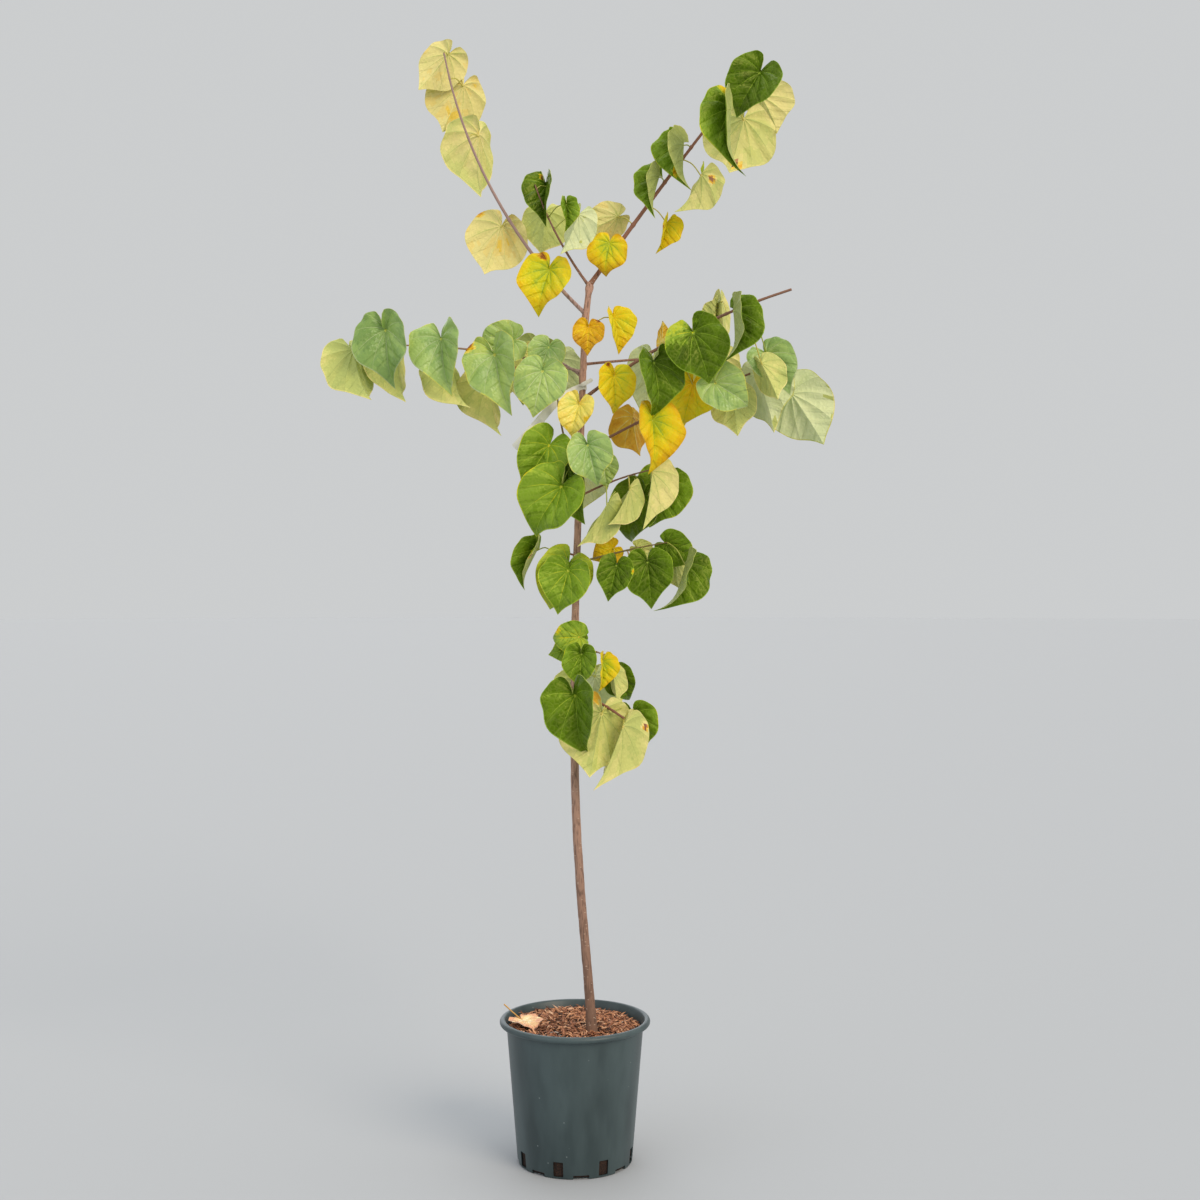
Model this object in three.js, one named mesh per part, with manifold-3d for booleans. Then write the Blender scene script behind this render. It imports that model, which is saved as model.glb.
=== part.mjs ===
// A young heart-leaved tree, about 2.1 m tall, in a round plastic nursery pot.
// Millimetres, +Z up. The pot's underside is centred on the origin. The plant is seen from the
// front, looking along +Y: right is +X, back is +Y.
import * as THREE from "three";
import { mergeVertices } from "three/addons/utils/BufferGeometryUtils.js";
import Module from "manifold-3d";

const wasm = await Module();
wasm.setup();

// Driving dimensions
const CLEAR = 0.3; // gap between neighbouring pieces
const POT = {
  height: 270,
  footRadius: 109, // outside, at the underside
  wallRadius: 130, // outside, under the lip
  lipRadius: 143,
  lipDepth: 12,
  wall: 2.4,
  floor: 3,
  slots: 8,
  slotWidth: 19,
  slotTurn: 7, // degrees, of all slots and notches about the pot's axis
  slotHeight: 28,
  notchWidth: 30,
  notchHeight: 8,
};
const COMPOST = {
  edge: 252,
  crown: 263,
  slope: 0.025, // down to the right
  ripple: 2,
};
const TRUNK_SUNK = 22; // the foot's flat cut lies this far under the compost's crown
const TRUNK = {
  radiusFoot: 8.8,
  radiusTop: 5.8,
  flare: 4.5, // extra radius at the foot
  flareReach: 30,
  // Where the trunk's axis passes: right, back and up of the pot's foot
  stations: [
    [34, -60, COMPOST.crown - TRUNK_SUNK],
    [25, -51, 360],
    [11, -36, 520],
    [1, -21, 700],
    [0, -4, 1000],
    [8, 4, 1280],
    [20, 6, 1590],
    [28, 6, 1668],
  ],
};
const LABEL = {
  height: 1469, // of its loop, up the trunk
  loop: 7.5, // radius
  around: [190, -90], // degrees about the trunk, where the loop starts and where the tail leaves it
  thickness: 0.8,
  widths: [11, 19], // at the loop and at the tail's end
  // Where the tail passes, right, back and up of the loop's middle
  tail: [
    [-22, -11, -10],
    [-52, -22, -34],
    [-90, -27, -78],
    [-126, -29, -120],
  ],
};
const FALLEN = {
  joint: [-100, -14, 263.3], // where petiole and blade meet
  way: [0.55, -0.83, 0.05], // the midrib's direction
  length: 52,
  petiole: [-35, 14, 32], // its far end, from the joint
  fold: 10,
  curl: -0.05,
};
const LEAF = {
  edge: 0.014, // thickness at the edge, of the blade's length
  midrib: 4.4, // thickness from the petiole's end to the blade's middle
  middle: 0.34, // how far along the midrib the blade's middle lies, of its length
  petiole: 1.25, // radius
  sunk: 0.08, // how far the petiole runs on inside the blade, of its length
  spring: 9, // no petiole springs nearer the foot of its stem
  // Each leaf's own share of these is drawn from a seeded row of numbers
  fold: [14, 30], // degrees that each half of the blade is raised
  curl: [0.05, 0.16], // how much the tip and edges drop towards the underside
  pitch: [2, 20], // degrees the tip comes forward
};

// Shoots that leave the trunk. height: up the trunk; bearing: degrees about Z from the right, by
// the back; rise: degrees above level at the foot and at the tip; bare: the part of its length that
// is a leafless bough. Each leaf: where its petiole meets the blade (right, up and back of the
// shoot's foot), the blade's length, its tip's lean from straight down towards the right, and how
// far the face is turned round the midrib: 0 shows the upper side to the front, 180 the underside.
// A seventh number is the fold, in degrees, of a leaf that is folded more than most.
const SHOOTS = [
  {
    name: "top_left", height: 1606, bearing: 176, rise: [44, 79], length: 580,
    radius: [3.8, 1.6], bare: 0.15,
    leaves: [
      [-69, 83, -14, 96, -18, 14, 28],
      [-163, 172, 20, 108, -18, 176, 20],
      [-207, 352, 38, 130, -4, 145, 40],
      [-239, 456, 66, 110, -24, 160, 24],
      [-266, 508, 42, 92, -36, 180, 30],
    ],
  },
  {
    name: "top_middle", height: 1660, bearing: 190, rise: [52, 70], length: 215,
    radius: [2.8, 1.2], bare: 0.2,
    leaves: [
      [-82, 190, -4, 84, -6, 28, 52],
      [-84, 152, 46, 92, -6, 180],
      [-20, 126, -40, 84, -20, 205, 48],
      [-43, 140, -66, 50, 8, -28, 50],
    ],
  },
  {
    name: "top_right", height: 1662, bearing: 355, rise: [54, 51], length: 520,
    radius: [4.6, 1.8], bare: 0.13,
    leaves: [
      [38, 73, -30, 68, -12, 12],
      [54, 134, 16, 72, -62, 165, 30],
      [148, 123, 18, 62, -11, -35, 50],
      [211, 204, -24, 94, -24, 225, 45],
      [132, 202, -20, 84, -16, 58, 62],
      [178, 262, -20, 104, -4, 58, 68],
      [262, 309, -84, 128, -4, 38, 68],
      [296, 326, 34, 130, -14, 185, 22],
      [319, 388, -48, 98, -32, 10, 30],
      [336, 384, 84, 100, 22, 212, 25],
    ],
  },
  {
    name: "left", height: 1497, bearing: 172, rise: [17, -3], length: 475,
    radius: [2.6, 1.2], bare: 0.1,
    leaves: [
      [-65, 46, -12, 66, -20, 0],
      [-75, -5, -54, 90, -12, 0],
      [-120, 46, 60, 95, -8, 170],
      [-166, 30, -26, 116, 9, 22, 34],
      [-134, 62, 12, 80, -72, 0],
      [-182, -12, 36, 118, 6, 137, 43],
      [-267, 60, -25, 113, 4, 24, 36],
      [-250, 19, 8, 120, 9, 135, 45],
      [-372, 77, -22, 114, 2, 22, 34],
      [-358, 55, 38, 122, 2, 135, 45],
      [-438, 42, 4, 120, 14, 142, 40],
    ],
  },
  {
    name: "centre", height: 1556, bearing: 300, rise: [40, 30], length: 52,
    radius: [2.2, 1.4], bare: 0,
    leaves: [
      [8, 18, -56, 54, -2, 0],
      [55, 41, -22, 72, 13, -38, 40],
    ],
  },
  {
    name: "right_upper", height: 1444, bearing: 350, rise: [37, 16], length: 445,
    radius: [3.4, 2.4], bare: 0.1,
    leaves: [
      [60, 42, -34, 74, 5, -18, 28],
      [150, 104, -30, 40, 172, 150, 40],
      [134, 63, -58, 106, 12, -34, 32],
      [207, 116, -76, 106, 19, 0],
      [281, 156, -80, 107, 5, -44, 62],
      [266, 192, 20, 92, 3, 180, 70],
      [254, 160, 30, 46, 178, 215, 40],
      [250, 28, -38, 86, 56, 0, 24],
      [211, 33, 10, 92, -14, 0],
      [350, 86, -8, 87, 33, -10, 25],
      [336, 62, -52, 84, 24, 200, 50],
    ],
  },
  {
    name: "right_lower", height: 1343, bearing: 10, rise: [30, 21], length: 372,
    radius: [2.8, 1.8], bare: 0.12,
    leaves: [
      [101, 72, 30, 86, 6, 150, 40],
      [136, 60, -34, 108, 5, -28, 40],
      [177, 100, 52, 60, 20, 0],
      [292, 118, 24, 86, 5, 180],
      [339, 153, 34, 116, 21, 212, 35],
      [410, 122, 72, 122, 33, 195],
    ],
  },
  {
    name: "middle_left", height: 1296, bearing: 228, rise: [52, 84], length: 165,
    radius: [2.4, 1.4], bare: 0,
    leaves: [
      [0, 134, -52, 70, -15, 12, 34],
      [-56, 58, -44, 102, -32, 0, 34],
      [16, 55, -86, 82, 14, 0, 28],
      [-32, -21, -76, 120, -34, 18, 30],
      [-24, 26, -20, 118, 8, 30, 35],
    ],
  },
  {
    name: "middle_right", height: 1260, bearing: 352, rise: [28, 12], length: 146,
    radius: [2.2, 1.2], bare: 0,
    leaves: [
      [54, -18, -88, 108, -32, 200, 70],
      [96, 11, -54, 96, -25, 200, 68],
      [122, 4, 30, 104, -22, 20, 30],
      [139, 45, -26, 106, -6, 215, 58],
      [166, 34, 60, 104, -18, 0],
      [46, 65, -16, 52, 8, 0],
    ],
  },
  {
    name: "lower_right", height: 1134, bearing: 4, rise: [16, 10], length: 178,
    radius: [2.2, 1.1], bare: 0,
    leaves: [
      [70, 29, 20, 50, -60, 0],
      [75, -5, -52, 68, -13, 0],
      [134, 2, -24, 88, 5, 0],
      [206, -2, -14, 106, -14, -50, 55],
      [173, 37, 14, 66, 60, 20],
      [115, 31, 36, 42, 60, 180],
      [120, 12, 6, 50, 25, 180],
      [189, 7, 26, 60, 0, 160],
      [101, 5, 20, 45, 25, 0],
    ],
  },
  {
    name: "lower_left", height: 1148, bearing: 205, rise: [15, 5], length: 52,
    radius: [2.0, 1.3], bare: 0,
    leaves: [
      [-75, 12, 6, 88, -27, 31, 69],
      [-15, -29, -58, 92, -16, 8, 28],
      [-16, -16, -26, 102, -22, 0],
    ],
  },
  {
    name: "low_upper", height: 973, bearing: 330, rise: [-2, -18], length: 66,
    radius: [2.2, 1.4], bare: 0,
    leaves: [
      [9, 22, -46, 58, -88, 0],
      [10, 7, -28, 64, -72, 0],
      [14, -8, -70, 66, -5, 14, 30],
      [52, -24, -36, 60, 3, -38, 52],
      [72, -46, -8, 62, 10, 200, 62],
      [78, -52, 34, 62, 28, 0],
    ],
  },
  {
    name: "low", height: 893, bearing: 322, rise: [-16, -28], length: 128,
    radius: [3.2, 2.2], bare: 0,
    leaves: [
      [3, -3, -86, 118, 4, 25, 38],
      [51, -39, -58, 134, -11, 180, 28],
      [91, -60, -92, 132, -20, 205, 65],
      [111, -45, 0, 84, 12, 0],
    ],
  },
];

// How leaves stand that spring by rule, to one side of their stem and the other
const BY_RULE = {
  aside: [22, 40], // from the stem to where petiole and blade meet
  drop: [-16, 2],
  lean: [0, 18],
  turn: [155, 205],
  pitch: [-20, -4],
};

// Shoots on the far side of the trunk, with leaves by rule. springs: how many leaves; blade: the
// shortest and longest blade.
const REAR_SHOOTS = [
  {
    name: "back_upper", height: 1512, bearing: 44, rise: [10, 6], length: 410,
    radius: [2.8, 1.3], bare: 0.3, springs: 6, blade: [82, 108],
  },
  {
    name: "back_left", height: 1487, bearing: 126, rise: [30, 4], length: 330,
    radius: [2.6, 1.2], bare: 0.25, springs: 5, blade: [85, 110],
  },
  {
    name: "back_middle", height: 1285, bearing: 98, rise: [26, 8], length: 210,
    radius: [2.2, 1.2], bare: 0.25, springs: 4, blade: [78, 100],
  },
  {
    name: "back_low", height: 905, bearing: 76, rise: [14, -6], length: 150,
    radius: [2.2, 1.3], bare: 0.25, springs: 3, blade: [80, 100],
  },
];

const rad = THREE.MathUtils.degToRad;
const lerp = THREE.MathUtils.lerp;

// Solids

function solidOf(geometry) {
  geometry.deleteAttribute("normal");
  geometry.deleteAttribute("uv");
  const merged = mergeVertices(geometry, 1e-4);
  return new wasm.Manifold(
    new wasm.Mesh({
      numProp: 3,
      vertProperties: merged.attributes.position.array,
      triVerts: new Uint32Array(merged.index.array),
    }),
  );
}

function meshOf(name, body, material) {
  const { vertProperties, triVerts } = body.getMesh();
  const geometry = new THREE.BufferGeometry();
  geometry.setAttribute("position", new THREE.BufferAttribute(vertProperties, 3));
  geometry.setIndex(new THREE.BufferAttribute(triVerts, 1));
  geometry.computeVertexNormals();
  const mesh = new THREE.Mesh(geometry, material);
  mesh.name = name;
  return mesh;
}

function closedGeometry(points, triangles) {
  const geometry = new THREE.BufferGeometry().setFromPoints(points);
  geometry.setIndex(triangles.flat());
  return geometry;
}

// A closed tapering limb: rings square to its route, with a flat cap at each end.
function limb(route, radiusAt, sides, steps) {
  const { normals, binormals } = route.computeFrenetFrames(steps);
  const points = [];
  const triangles = [];
  for (let i = 0; i <= steps; i++) {
    const centre = route.getPointAt(i / steps);
    for (let k = 0; k < sides; k++) {
      const angle = (2 * Math.PI * k) / sides;
      points.push(
        centre
          .clone()
          .addScaledVector(normals[i], radiusAt(i / steps) * Math.cos(angle))
          .addScaledVector(binormals[i], radiusAt(i / steps) * Math.sin(angle)),
      );
    }
  }
  for (let i = 0; i < steps; i++) {
    for (let k = 0; k < sides; k++) {
      const a = i * sides + k;
      const b = i * sides + ((k + 1) % sides);
      triangles.push([a, b, b + sides], [a, b + sides, a + sides]);
    }
  }
  const last = steps * sides;
  for (let k = 1; k < sides - 1; k++) {
    triangles.push([0, k + 1, k], [last, last + k, last + k + 1]);
  }
  return solidOf(closedGeometry(points, triangles));
}

// A stretch of a route, from one part of its length to another.
function stretch(route, from, to) {
  const points = [];
  for (let i = 0; i <= 8; i++) points.push(route.getPointAt(lerp(from, to, i / 8)));
  return new THREE.CatmullRomCurve3(points);
}

// Pot: a tapered wall with a rolled lip, slots round its foot and notches under its edge.

function potSolid() {
  const { height, footRadius, wallRadius, lipRadius, lipDepth, wall, floor } = POT;
  const lipRound = lipDepth / 4;
  const lipInside = wallRadius + 3;
  const profile = [
    [0, 0],
    [footRadius - 3, 0],
    [footRadius, 3],
    [wallRadius, height - lipDepth - 1],
    [lipRadius - lipRound, height - lipDepth],
    [lipRadius, height - lipDepth + lipRound],
    [lipRadius, height - lipRound],
    [lipRadius - lipRound, height],
    [lipInside, height],
    [wallRadius - wall, height - lipDepth],
    [footRadius - wall, floor],
    [0, floor],
  ].map(([radius, z]) => new THREE.Vector2(radius, z));
  let pot = solidOf(new THREE.LatheGeometry(profile, 40).rotateX(Math.PI / 2));
  const cutAt = (angle, width, bottom, top) => {
    const cut = new THREE.BoxGeometry(16, width, top - bottom)
      .translate(footRadius, 0, (top + bottom) / 2)
      .rotateZ(angle);
    pot = pot.subtract(solidOf(cut));
  };
  const first = rad(POT.slotTurn - 90);
  const half = Math.PI / POT.slots;
  for (let i = 0; i < POT.slots; i++) {
    cutAt(first + (2 * i + 1) * half, POT.slotWidth, floor + 1, floor + 1 + POT.slotHeight);
    cutAt(first + 2 * i * half, POT.notchWidth, -1, POT.notchHeight);
  }
  return pot;
}

// Compost and bark mulch: a filling that fits inside the wall, heaped round the trunk.

function compostSolid() {
  const inside = (z) =>
    lerp(POT.footRadius, POT.wallRadius, z / (POT.height - POT.lipDepth)) - POT.wall - 2 * CLEAR;
  const bottom = POT.floor + CLEAR;
  const lowest = COMPOST.edge - COMPOST.slope * POT.wallRadius - 1.5 * COMPOST.ripple;
  const edgeRadius = inside(lowest);
  const profile = [
    [0, bottom],
    [inside(bottom), bottom],
    [edgeRadius, COMPOST.edge],
    [edgeRadius * 0.8, lerp(COMPOST.edge, COMPOST.crown, 0.5)],
    [edgeRadius * 0.5, lerp(COMPOST.edge, COMPOST.crown, 0.85)],
    [edgeRadius * 0.2, COMPOST.crown],
    [0, COMPOST.crown],
  ].map(([radius, z]) => new THREE.Vector2(radius, z));
  const geometry = new THREE.LatheGeometry(profile, 40).rotateX(Math.PI / 2);
  const spots = geometry.attributes.position;
  for (let i = 0; i < spots.count; i++) {
    const [x, y, z] = [spots.getX(i), spots.getY(i), spots.getZ(i)];
    if (z > COMPOST.edge - 1) {
      const ripple = Math.sin(x / 17) * Math.cos(y / 21) + 0.5 * Math.sin((x + y) / 9);
      spots.setZ(i, z - COMPOST.slope * x + COMPOST.ripple * ripple);
    }
  }
  return solidOf(geometry);
}

// Trunk

const trunkRoute = new THREE.CatmullRomCurve3(
  TRUNK.stations.map(([x, y, z]) => new THREE.Vector3(x, y, z)),
);
const trunkLength = trunkRoute.getLength();

// The trunk, or with grown over 0 the room it needs: larger by that all round and at both ends.
function trunkSolid(grown = 0) {
  const radiusAt = (part) =>
    lerp(TRUNK.radiusFoot, TRUNK.radiusTop, part) +
    TRUNK.flare * Math.exp((-part * trunkLength) / TRUNK.flareReach) +
    grown;
  const points = trunkRoute.points.map((point) => point.clone());
  points[0].z -= grown;
  points[points.length - 1].z += grown;
  return limb(new THREE.CatmullRomCurve3(points), radiusAt, 10, 18);
}

function trunkAt(height) {
  let low = 0;
  let high = 1;
  for (let i = 0; i < 24; i++) {
    const middle = (low + high) / 2;
    if (trunkRoute.getPointAt(middle).z < height) low = middle;
    else high = middle;
  }
  return trunkRoute.getPointAt(low);
}

// Plant label: a blank strap of thin plastic, looped round the trunk, its tail hanging to the left.

function labelSolid() {
  const middle = trunkAt(LABEL.height);
  const loopSteps = 12;
  const spots = [];
  for (let i = 0; i <= loopSteps; i++) {
    const angle = rad(lerp(...LABEL.around, i / loopSteps));
    const out = new THREE.Vector3(Math.cos(angle), Math.sin(angle), 0);
    spots.push({ centre: middle.clone().addScaledVector(out, LABEL.loop), out, width: LABEL.widths[0] });
  }
  LABEL.tail.forEach((spot, i) => {
    const centre = middle.clone().add(new THREE.Vector3(...spot));
    const width = lerp(...LABEL.widths, (i + 1) / LABEL.tail.length);
    spots.push({ centre, out: new THREE.Vector3(0, -1, 0), width });
  });
  const points = [];
  const triangles = [];
  spots.forEach(({ centre, out, width }, i) => {
    const before = spots[Math.max(i - 1, 0)].centre;
    const after = spots[Math.min(i + 1, spots.length - 1)].centre;
    const across = after.clone().sub(before).cross(out).normalize();
    for (const [wide, thick] of [[-1, -1], [1, -1], [1, 1], [-1, 1]]) {
      points.push(
        centre
          .clone()
          .addScaledVector(across, (wide * width) / 2)
          .addScaledVector(out, (thick * LABEL.thickness) / 2),
      );
    }
  });
  const last = points.length - 4;
  for (let a = 0; a < last; a++) {
    const b = a % 4 < 3 ? a + 1 : a - 3;
    triangles.push([a, a + 4, b + 4], [a, b + 4, b]);
  }
  triangles.push([0, 1, 2], [0, 2, 3]);
  triangles.push([last, last + 2, last + 1], [last, last + 3, last + 2]);
  return solidOf(closedGeometry(points, triangles));
}

// Shoots and leaves

// A shoot leaves its foot at one rise above level and bends evenly to another by its tip.
function shootRoute(shoot) {
  const steps = 10;
  const points = [trunkAt(shoot.height)];
  for (let i = 0; i < steps; i++) {
    const rise = rad(lerp(shoot.rise[0], shoot.rise[1], (i + 0.5) / steps));
    const bearing = rad(shoot.bearing);
    const way = new THREE.Vector3(
      Math.cos(rise) * Math.cos(bearing),
      Math.cos(rise) * Math.sin(bearing),
      Math.sin(rise),
    );
    points.push(points[i].clone().addScaledVector(way, shoot.length / steps));
  }
  return new THREE.CatmullRomCurve3(points);
}

// The same draws in the same order on every run.
function seeded(seed) {
  let state = seed;
  return (low, high) => {
    state = (state * 48271) % 2147483647;
    return lerp(low, high, state / 2147483647);
  };
}

// The heart's outline: its radius about the petiole's end, as a part of the blade's length, at an
// angle from the tip. It is drawn out at the tip and pinched to a notch between the lobes.
function heart(angle) {
  const fromNotch = Math.PI - Math.abs(angle);
  const body = 0.54 + 0.19 * Math.cos(angle) - 0.04 * Math.cos(angle) ** 2;
  const tip = 0.3 * Math.exp(-Math.abs(angle) / rad(12.5));
  const notch = 1 - 0.94 * Math.exp(-((fromNotch / rad(14)) ** 2));
  return (body + tip) * notch;
}

// A blade: a thin shell folded along its midrib, its tip and edges curling to the underside.
function bladeSolid({ joint, along, face, length, fold, curl }) {
  const side = along.clone().cross(face);
  const turns = [12, 36, 72, 106, 135, 161];
  const angles = [0, ...turns, 180, ...turns.map((turn) => -turn).reverse()].map(rad);
  const place = (a, b, offset) => {
    const lift = Math.abs(b) * Math.sin(fold) - (curl * (a * a + b * b)) / length;
    return joint
      .clone()
      .addScaledVector(along, a)
      .addScaledVector(side, b * Math.cos(fold))
      .addScaledVector(face, lift + offset);
  };
  const middle = LEAF.middle * length;
  const points = [place(middle, 0, LEAF.midrib / 2), place(middle, 0, -LEAF.midrib / 2)];
  for (const angle of angles) {
    const reach = length * heart(angle);
    const a = reach * Math.cos(angle);
    const b = reach * Math.sin(angle);
    const half = (angle === Math.PI ? LEAF.midrib : LEAF.edge * length) / 2;
    points.push(place(a, b, half), place(a, b, -half));
  }
  const triangles = [];
  for (let i = 0; i < angles.length; i++) {
    const top = 2 + 2 * i;
    const next = 2 + 2 * ((i + 1) % angles.length);
    triangles.push([0, next, top], [1, top + 1, next + 1]);
    triangles.push([top, next, next + 1], [top, next + 1, top + 1]);
  }
  return solidOf(closedGeometry(points, triangles));
}

// A leaf on its petiole, which springs from the stem's nearest point.
function leafSolid(stem, leaf) {
  const { joint, along, length } = leaf;
  const places = 50;
  const first = Math.ceil((places * LEAF.spring) / stem.getLength());
  let root = stem.getPointAt(first / places);
  for (let i = first + 1; i <= places; i++) {
    const spot = stem.getPointAt(i / places);
    if (spot.distanceTo(joint) < root.distanceTo(joint)) root = spot;
  }
  const middle = root.clone().lerp(joint, 0.5);
  middle.z += 0.12 * root.distanceTo(joint);
  const end = joint.clone().addScaledVector(along, LEAF.sunk * length);
  const petiole = new THREE.CatmullRomCurve3([root, middle, end]);
  return limb(petiole, () => LEAF.petiole, 3, 2).add(bladeSolid(leaf));
}

// A leaf that fell on the mulch: its edges have curled up and its petiole stands.
function fallenLeaf() {
  const { length, curl } = FALLEN;
  const fold = rad(FALLEN.fold);
  const joint = new THREE.Vector3(...FALLEN.joint);
  const along = new THREE.Vector3(...FALLEN.way).normalize();
  const face = new THREE.Vector3(0, 0, 1);
  face.addScaledVector(along, -face.dot(along)).normalize();
  const top = joint.clone().add(new THREE.Vector3(...FALLEN.petiole));
  const bend = joint.clone().lerp(top, 0.5).addScaledVector(along, -5);
  const petiole = new THREE.CatmullRomCurve3([top, bend, joint.clone().addScaledVector(face, -0.5)]);
  const blade = bladeSolid({ joint, along, face, length, fold, curl });
  return limb(petiole, () => LEAF.petiole, 3, 4).add(blade);
}

// Which way a leaf points and faces, from its lean, its turn and how far its tip comes forward.
function leafFrame(lean, turn, pitch) {
  const along = new THREE.Vector3(
    Math.sin(lean) * Math.cos(pitch),
    -Math.sin(pitch),
    -Math.cos(lean) * Math.cos(pitch),
  );
  const face = new THREE.Vector3(0, -1, 0);
  face.addScaledVector(along, -face.dot(along)).normalize();
  return { along, face: face.applyAxisAngle(along, turn) };
}

function leavesOf(shoot, foot, seed) {
  const draw = seeded(seed);
  return shoot.leaves.map(([right, up, back, length, lean, turn, fold = draw(...LEAF.fold)]) => ({
    joint: foot.clone().add(new THREE.Vector3(right, back, up)),
    length,
    fold: rad(fold),
    curl: draw(...LEAF.curl),
    ...leafFrame(rad(lean), rad(turn), rad(draw(...LEAF.pitch))),
  }));
}

// Leaves by rule: evenly along the stem, to one side and the other, their upper sides to the back.
// Each is drawn in a fixed order, so a shoot keeps its leaves when another shoot changes.
function springLeaves(shoot, stem, seed) {
  const draw = seeded(seed);
  const aside = new THREE.Vector3(-Math.sin(rad(shoot.bearing)), Math.cos(rad(shoot.bearing)), 0);
  return Array.from({ length: shoot.springs }, (_, i) => {
    const hand = i % 2 ? 1 : -1;
    const joint = stem.getPointAt((i + 0.9) / shoot.springs);
    joint.addScaledVector(aside, hand * draw(...BY_RULE.aside));
    joint.z += draw(...BY_RULE.drop);
    const length = draw(...shoot.blade);
    const fold = rad(draw(...LEAF.fold));
    const curl = draw(...LEAF.curl);
    const lean = rad(hand * draw(...BY_RULE.lean));
    const turn = rad(draw(...BY_RULE.turn));
    const pitch = rad(draw(...BY_RULE.pitch));
    return { joint, length, fold, curl, ...leafFrame(lean, turn, pitch) };
  });
}

// Assembly

const bark = new THREE.MeshStandardMaterial({ color: "#7b6257", roughness: 0.8 });
const foliage = new THREE.MeshStandardMaterial({ color: "#8aa536", roughness: 0.55 });
const plastic = new THREE.MeshStandardMaterial({ color: "#3c4a4c", roughness: 0.45 });
const mulch = new THREE.MeshStandardMaterial({ color: "#7a4a30", roughness: 0.95 });
const dryLeaf = new THREE.MeshStandardMaterial({ color: "#dcc27a", roughness: 0.6 });
const whitePlastic = new THREE.MeshStandardMaterial({ color: "#e8eaea", roughness: 0.5 });

const sapling = new THREE.Group();
const trunk = trunkSolid();
const trunkRoom = trunkSolid(CLEAR);
const label = labelSolid();
sapling.add(meshOf("pot", potSolid(), plastic));
sapling.add(meshOf("compost", compostSolid().subtract(trunkRoom), mulch));
sapling.add(meshOf("fallen_leaf", fallenLeaf(), dryLeaf));
sapling.add(meshOf("trunk", trunk, bark));
sapling.add(meshOf("plant_label", label, whitePlastic));

// A leaf that would come nearer than the gap to a limb or to another mass is left out.
const limbs = [trunk, label];
const masses = [];
const staysClear = (piece, others) =>
  others.every((other) => piece.minGap(other, CLEAR) >= CLEAR);

const grown = [...SHOOTS, ...REAR_SHOOTS].map((shoot, i) => {
  const route = shootRoute(shoot);
  const radiusAt = (part) => lerp(shoot.radius[0], shoot.radius[1], part);
  let bough = null;
  if (shoot.bare > 0) {
    const bareRoute = stretch(route, 0, shoot.bare);
    bough = limb(bareRoute, (part) => radiusAt(part * shoot.bare), 7, 4).subtract(trunkRoom);
    sapling.add(meshOf("bough_" + shoot.name, bough, bark));
    limbs.push(bough);
  }
  const from = shoot.bare + (shoot.bare > 0 ? (1.4 * CLEAR) / shoot.length : 0);
  const stem = stretch(route, from, 1);
  return { shoot, stem, foot: route.getPointAt(0), radiusAt, from, seed: 101 + 37 * i };
});

for (const { shoot, stem, foot, radiusAt, from, seed } of grown) {
  let mass = limb(stem, (part) => radiusAt(lerp(from, 1, part)), 4, 8).subtract(trunkRoom);
  const leaves = shoot.leaves ? leavesOf(shoot, foot, seed) : springLeaves(shoot, stem, seed);
  leaves.forEach((leaf) => {
    const piece = leafSolid(stem, leaf).subtract(trunkRoom);
    if (staysClear(piece, limbs) && staysClear(piece, masses)) mass = mass.add(piece);
  });
  masses.push(mass);
  sapling.add(meshOf("foliage_" + shoot.name, mass, foliage));
}

export default sapling;
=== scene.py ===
import functools
import math
from collections import namedtuple

import bpy
import numpy as np
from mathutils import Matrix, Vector


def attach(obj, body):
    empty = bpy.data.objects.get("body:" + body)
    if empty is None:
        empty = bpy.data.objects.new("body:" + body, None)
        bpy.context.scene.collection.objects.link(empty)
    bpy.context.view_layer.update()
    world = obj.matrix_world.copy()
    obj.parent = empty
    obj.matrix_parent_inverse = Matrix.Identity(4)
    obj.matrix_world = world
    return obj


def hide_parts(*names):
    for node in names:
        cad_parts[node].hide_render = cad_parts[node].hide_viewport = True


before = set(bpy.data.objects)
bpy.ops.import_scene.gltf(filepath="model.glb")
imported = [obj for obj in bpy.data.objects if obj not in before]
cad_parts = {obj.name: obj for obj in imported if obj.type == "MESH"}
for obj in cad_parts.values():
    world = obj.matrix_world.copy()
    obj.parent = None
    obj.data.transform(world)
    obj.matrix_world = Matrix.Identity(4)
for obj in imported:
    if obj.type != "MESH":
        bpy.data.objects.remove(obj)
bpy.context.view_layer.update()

MM = 0.001

# Camera. It stands three metres in front, chest high, and looks almost level along +Y.
CAMERA_PLACE = (47.5, -3020, 1083)
CAMERA_TILT = 0.36  # degrees down
CAMERA_LENS = 47.7  # on a sensor 36 mm wide

camera = bpy.data.objects.new("camera", bpy.data.cameras.new("camera"))
camera.data.lens = CAMERA_LENS
camera.location = Vector(CAMERA_PLACE) * MM
camera.rotation_euler = (math.radians(90 - CAMERA_TILT), 0, 0)
bpy.context.scene.collection.objects.link(camera)
bpy.context.scene.camera = camera
# Colours are shown as they are, with no film curve over them
bpy.context.scene.view_settings.view_transform = "Standard"


# Light. Wide soft sources a long way off light plant and floor alike, as a high overcast sky
# would: a warm key from the right front, a cool fill from the left, and some from above and behind.
SKY_LIGHTS = {  # towards the source (right, back, up), how wide it looks in degrees, strength, colour
    "key_light": ((0.57, -0.67, 0.48), 34, 1.65, "#fff1de"),
    "fill_light": ((-0.77, -0.58, 0.28), 60, 0.45, "#eef4ff"),
    "top_light": ((0.1, 0.1, 1.0), 50, 0.75, "#ffffff"),
    "back_light": ((-0.2, 0.9, 0.4), 50, 0.6, "#f4f7ff"),
}
ROOM_COLOUR = "#e6e8e9"
ROOM_STRENGTH = 0.76


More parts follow.
